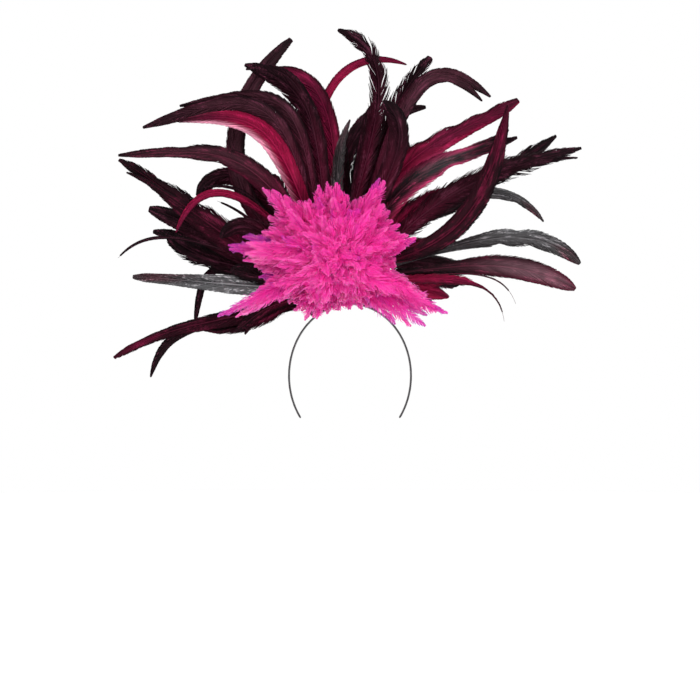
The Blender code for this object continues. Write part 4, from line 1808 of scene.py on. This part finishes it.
    def _edge(self, chance: np.random.Generator) -> list[Strand]:
        """The outer hackles, whose tips make the mound's outline.

        Args:
            chance: The source of the hackles' irregularities.

        Returns:
            Their strands.
        """
        strands = []
        for row in MOUND_EDGE:
            # The farthest edge hackles take violet tips: partly dyed, partly painted shade.
            coat = Coat.ORCHID if row.reach > self.orchid_reach else Coat.PINK
            strands.append(self.hackle(Hackle(row.angle, self.edge_lean, row.reach * self.radius,
                                              self.hackle_half_width, 0.0, coat, chance.uniform(-14, 14))))
            for step in (-5.0, 5.0):
                angle = row.angle + step + chance.uniform(-2, 2)
                reach = self.edge_reach(angle) * chance.uniform(0.86, 0.97)
                strands.append(self.hackle(Hackle(
                    angle, self.edge_lean - 3, reach, self.hackle_half_width * 0.9,
                    chance.uniform(-20, 20), Coat.PINK, chance.uniform(-20, 20))))
        return strands

    def _tufts(self, chance: np.random.Generator) -> list[Strand]:
        """The hackles that stand out of the mound's edge.

        Args:
            chance: The source of the hackles' irregularities.

        Returns:
            Their strands.
        """
        return [self.hackle(Hackle(
            tuft.angle, self.edge_lean, tuft.reach * self.radius, self.hackle_half_width * 0.8,
            chance.uniform(-30, 30), tuft.coat, chance.uniform(-20, 20))) for tuft in TUFTS]

    def _room(self, angle: float) -> float:
        """The share of the backing's radius that stays hidden under the hackles at an angle."""
        near = [self.edge_reach(angle + step) / self.radius for step in (-14.0, 0.0, 14.0)]
        return min(1.0, sum(near) / len(near))

    def _collar(self, chance: np.random.Generator) -> list[Strand]:
        """Short hackles round the mound's foot, close to the pad.

        Args:
            chance: The source of the hackles' irregularities.

        Returns:
            Their strands.
        """
        strands = []
        for i in range(self.collar_count):
            turn = 360.0 * (i + chance.uniform(-0.3, 0.3)) / self.collar_count
            outward = direction(turn)
            root = self.centre + outward * self.collar_root * self._room(turn) + FRONT * self.collar_lift
            reach = self.collar_reach * self._room(turn) * chance.uniform(0.9, 1.08)
            tip = self.centre + outward * reach + FRONT * (self.collar_depth * chance.uniform(0.3, 1.1))
            middle = root + outward * (reach - self.collar_root) * 0.8
            row = Hackle(turn, 90.0, reach, self.hackle_half_width * 0.8, chance.uniform(-25, 25), Coat.PINK)
            strands.append(self._lock((root, middle, tip), direction(turn + 90), row))
        return strands

    def _backing(self) -> None:
        """The closed dome of pink felt on the pad that holds the hackles' roots."""
        turns = np.linspace(0.0, 360.0, self.backing_corners, endpoint=False)
        rings = []
        for tilt in np.linspace(self.backing_start, 90.0, self.backing_rings):
            lean = math.radians(tilt)
            out = self.backing_radius * math.sin(lean) ** self.backing_fullness
            front = self.backing_depth * max(math.cos(lean), 0.0) ** self.backing_fullness
            rings.append([self.centre + direction(turn) * out * self._room(turn) + FRONT * front
                          for turn in turns])
        felt = FeltFinish("pink_felt", Dye.MAGENTA.value, Dye.HOT_PINK.value)
        obj = closed_shell("hackle_backing", rings, felt.material())
        dress(obj, ("hackle_mound",), "pink_hackle")

    def build(self, plumage: PlumageTree) -> None:
        """Grows the mound's rows and its edge.

        Args:
            plumage: The tree that grows the barbs.
        """
        self._backing()
        chance = np.random.default_rng(self.seed)
        material = PINK_FINISH.material()
        inner = [strand for row in HACKLE_ROWS[:5] for strand in self._row(row, chance)]
        outer = [strand for row in HACKLE_ROWS[5:] for strand in self._row(row, chance)]
        groups = {"hackles_inner": inner, "hackles_outer": outer, "hackles_edge": self._edge(chance),
                  "hackles_loose": self._tufts(chance) + self._collar(chance)}
        for seed, (name, strands) in enumerate(groups.items()):
            obj = plumage.grow(name, strands, Barbs.DOWNY, material, self.tree_seed + seed)
            dress(obj, ("hackle_mound",), "pink_hackle")


# Studio


@dataclass(frozen=True)
class Studio:
    """A pale floor, soft light and the camera at the photograph's angle."""

    camera_distance: float = 3.0
    camera_height: float = -0.054
    lens: float = 128.57
    floor_height: float = -0.330
    floor_radius: float = 1.9
    floor_corners: int = 96

    def build(self) -> None:
        """Builds the floor, the lights and the camera."""
        self._floor()
        self._world()
        self._light("key_light", (-1.3, -2.2, 1.6), 1.8, 66.0)
        self._light("fill_light", (1.8, -1.9, 0.5), 2.0, 34.0)
        self._light("back_light", (0.4, 2.0, 1.9), 1.4, 26.0)
        camera = new_object("camera", bpy.data.cameras.new("camera"))
        camera.data.lens = self.lens
        camera.data.clip_end = 100.0
        camera.location = (0.0, -self.camera_distance, self.camera_height)
        camera.rotation_euler = (math.radians(90), 0.0, 0.0)
        bpy.context.scene.camera = camera

    def _floor(self) -> None:
        """A large round floor under the headdress."""
        bm = bmesh.new()
        bmesh.ops.create_circle(bm, cap_ends=True, radius=self.floor_radius, segments=self.floor_corners)
        bmesh.ops.translate(bm, verts=bm.verts, vec=(0.0, 0.0, self.floor_height))
        mesh = bpy.data.meshes.new("studio_floor")
        bm.to_mesh(mesh)
        bm.free()
        mesh.materials.append(PaleFloorFinish().material())
        floor = new_object("studio_floor", mesh)

    def _world(self) -> None:
        """An even near-white surrounding."""
        world = bpy.data.worlds.new("studio")
        world.use_nodes = True
        background = world.node_tree.nodes["Background"]
        background.inputs["Color"].default_value = (1.0, 1.0, 1.0, 1.0)
        background.inputs["Strength"].default_value = 1.0
        bpy.context.scene.world = world
        bpy.context.scene.view_settings.view_transform = "Standard"

    def _light(self, name: str, place: tuple[float, float, float], size: float, power: float) -> None:
        """A square soft light aimed at the headdress.

        Args:
            name: The light's name.
            place: Where it stands.
            size: Its side.
            power: Its power in watts.
        """
        lamp = bpy.data.lights.new(name, "AREA")
        lamp.size = size
        lamp.energy = power
        light = new_object(name, lamp)
        light.location = place
        aim = np.array((0.0, 0.0, 0.1)) - np.array(place)
        flat = math.hypot(aim[0], aim[1])
        light.rotation_euler = (math.atan2(flat, -aim[2]), 0.0, math.atan2(-aim[0], aim[1]))


def main() -> None:
    """Builds the headdress and its studio."""
    logging.basicConfig(level=logging.INFO, format="%(name)s %(message)s")
    plumage = PlumageTree()
    band = Headband()
    base = FeatherBase(band)
    band.build()
    base.build(StitchTree())
    TailFan(base).build(plumage)
    HackleMound(base).build(plumage)
    Studio().build()


if __name__ == "__main__":
    main()
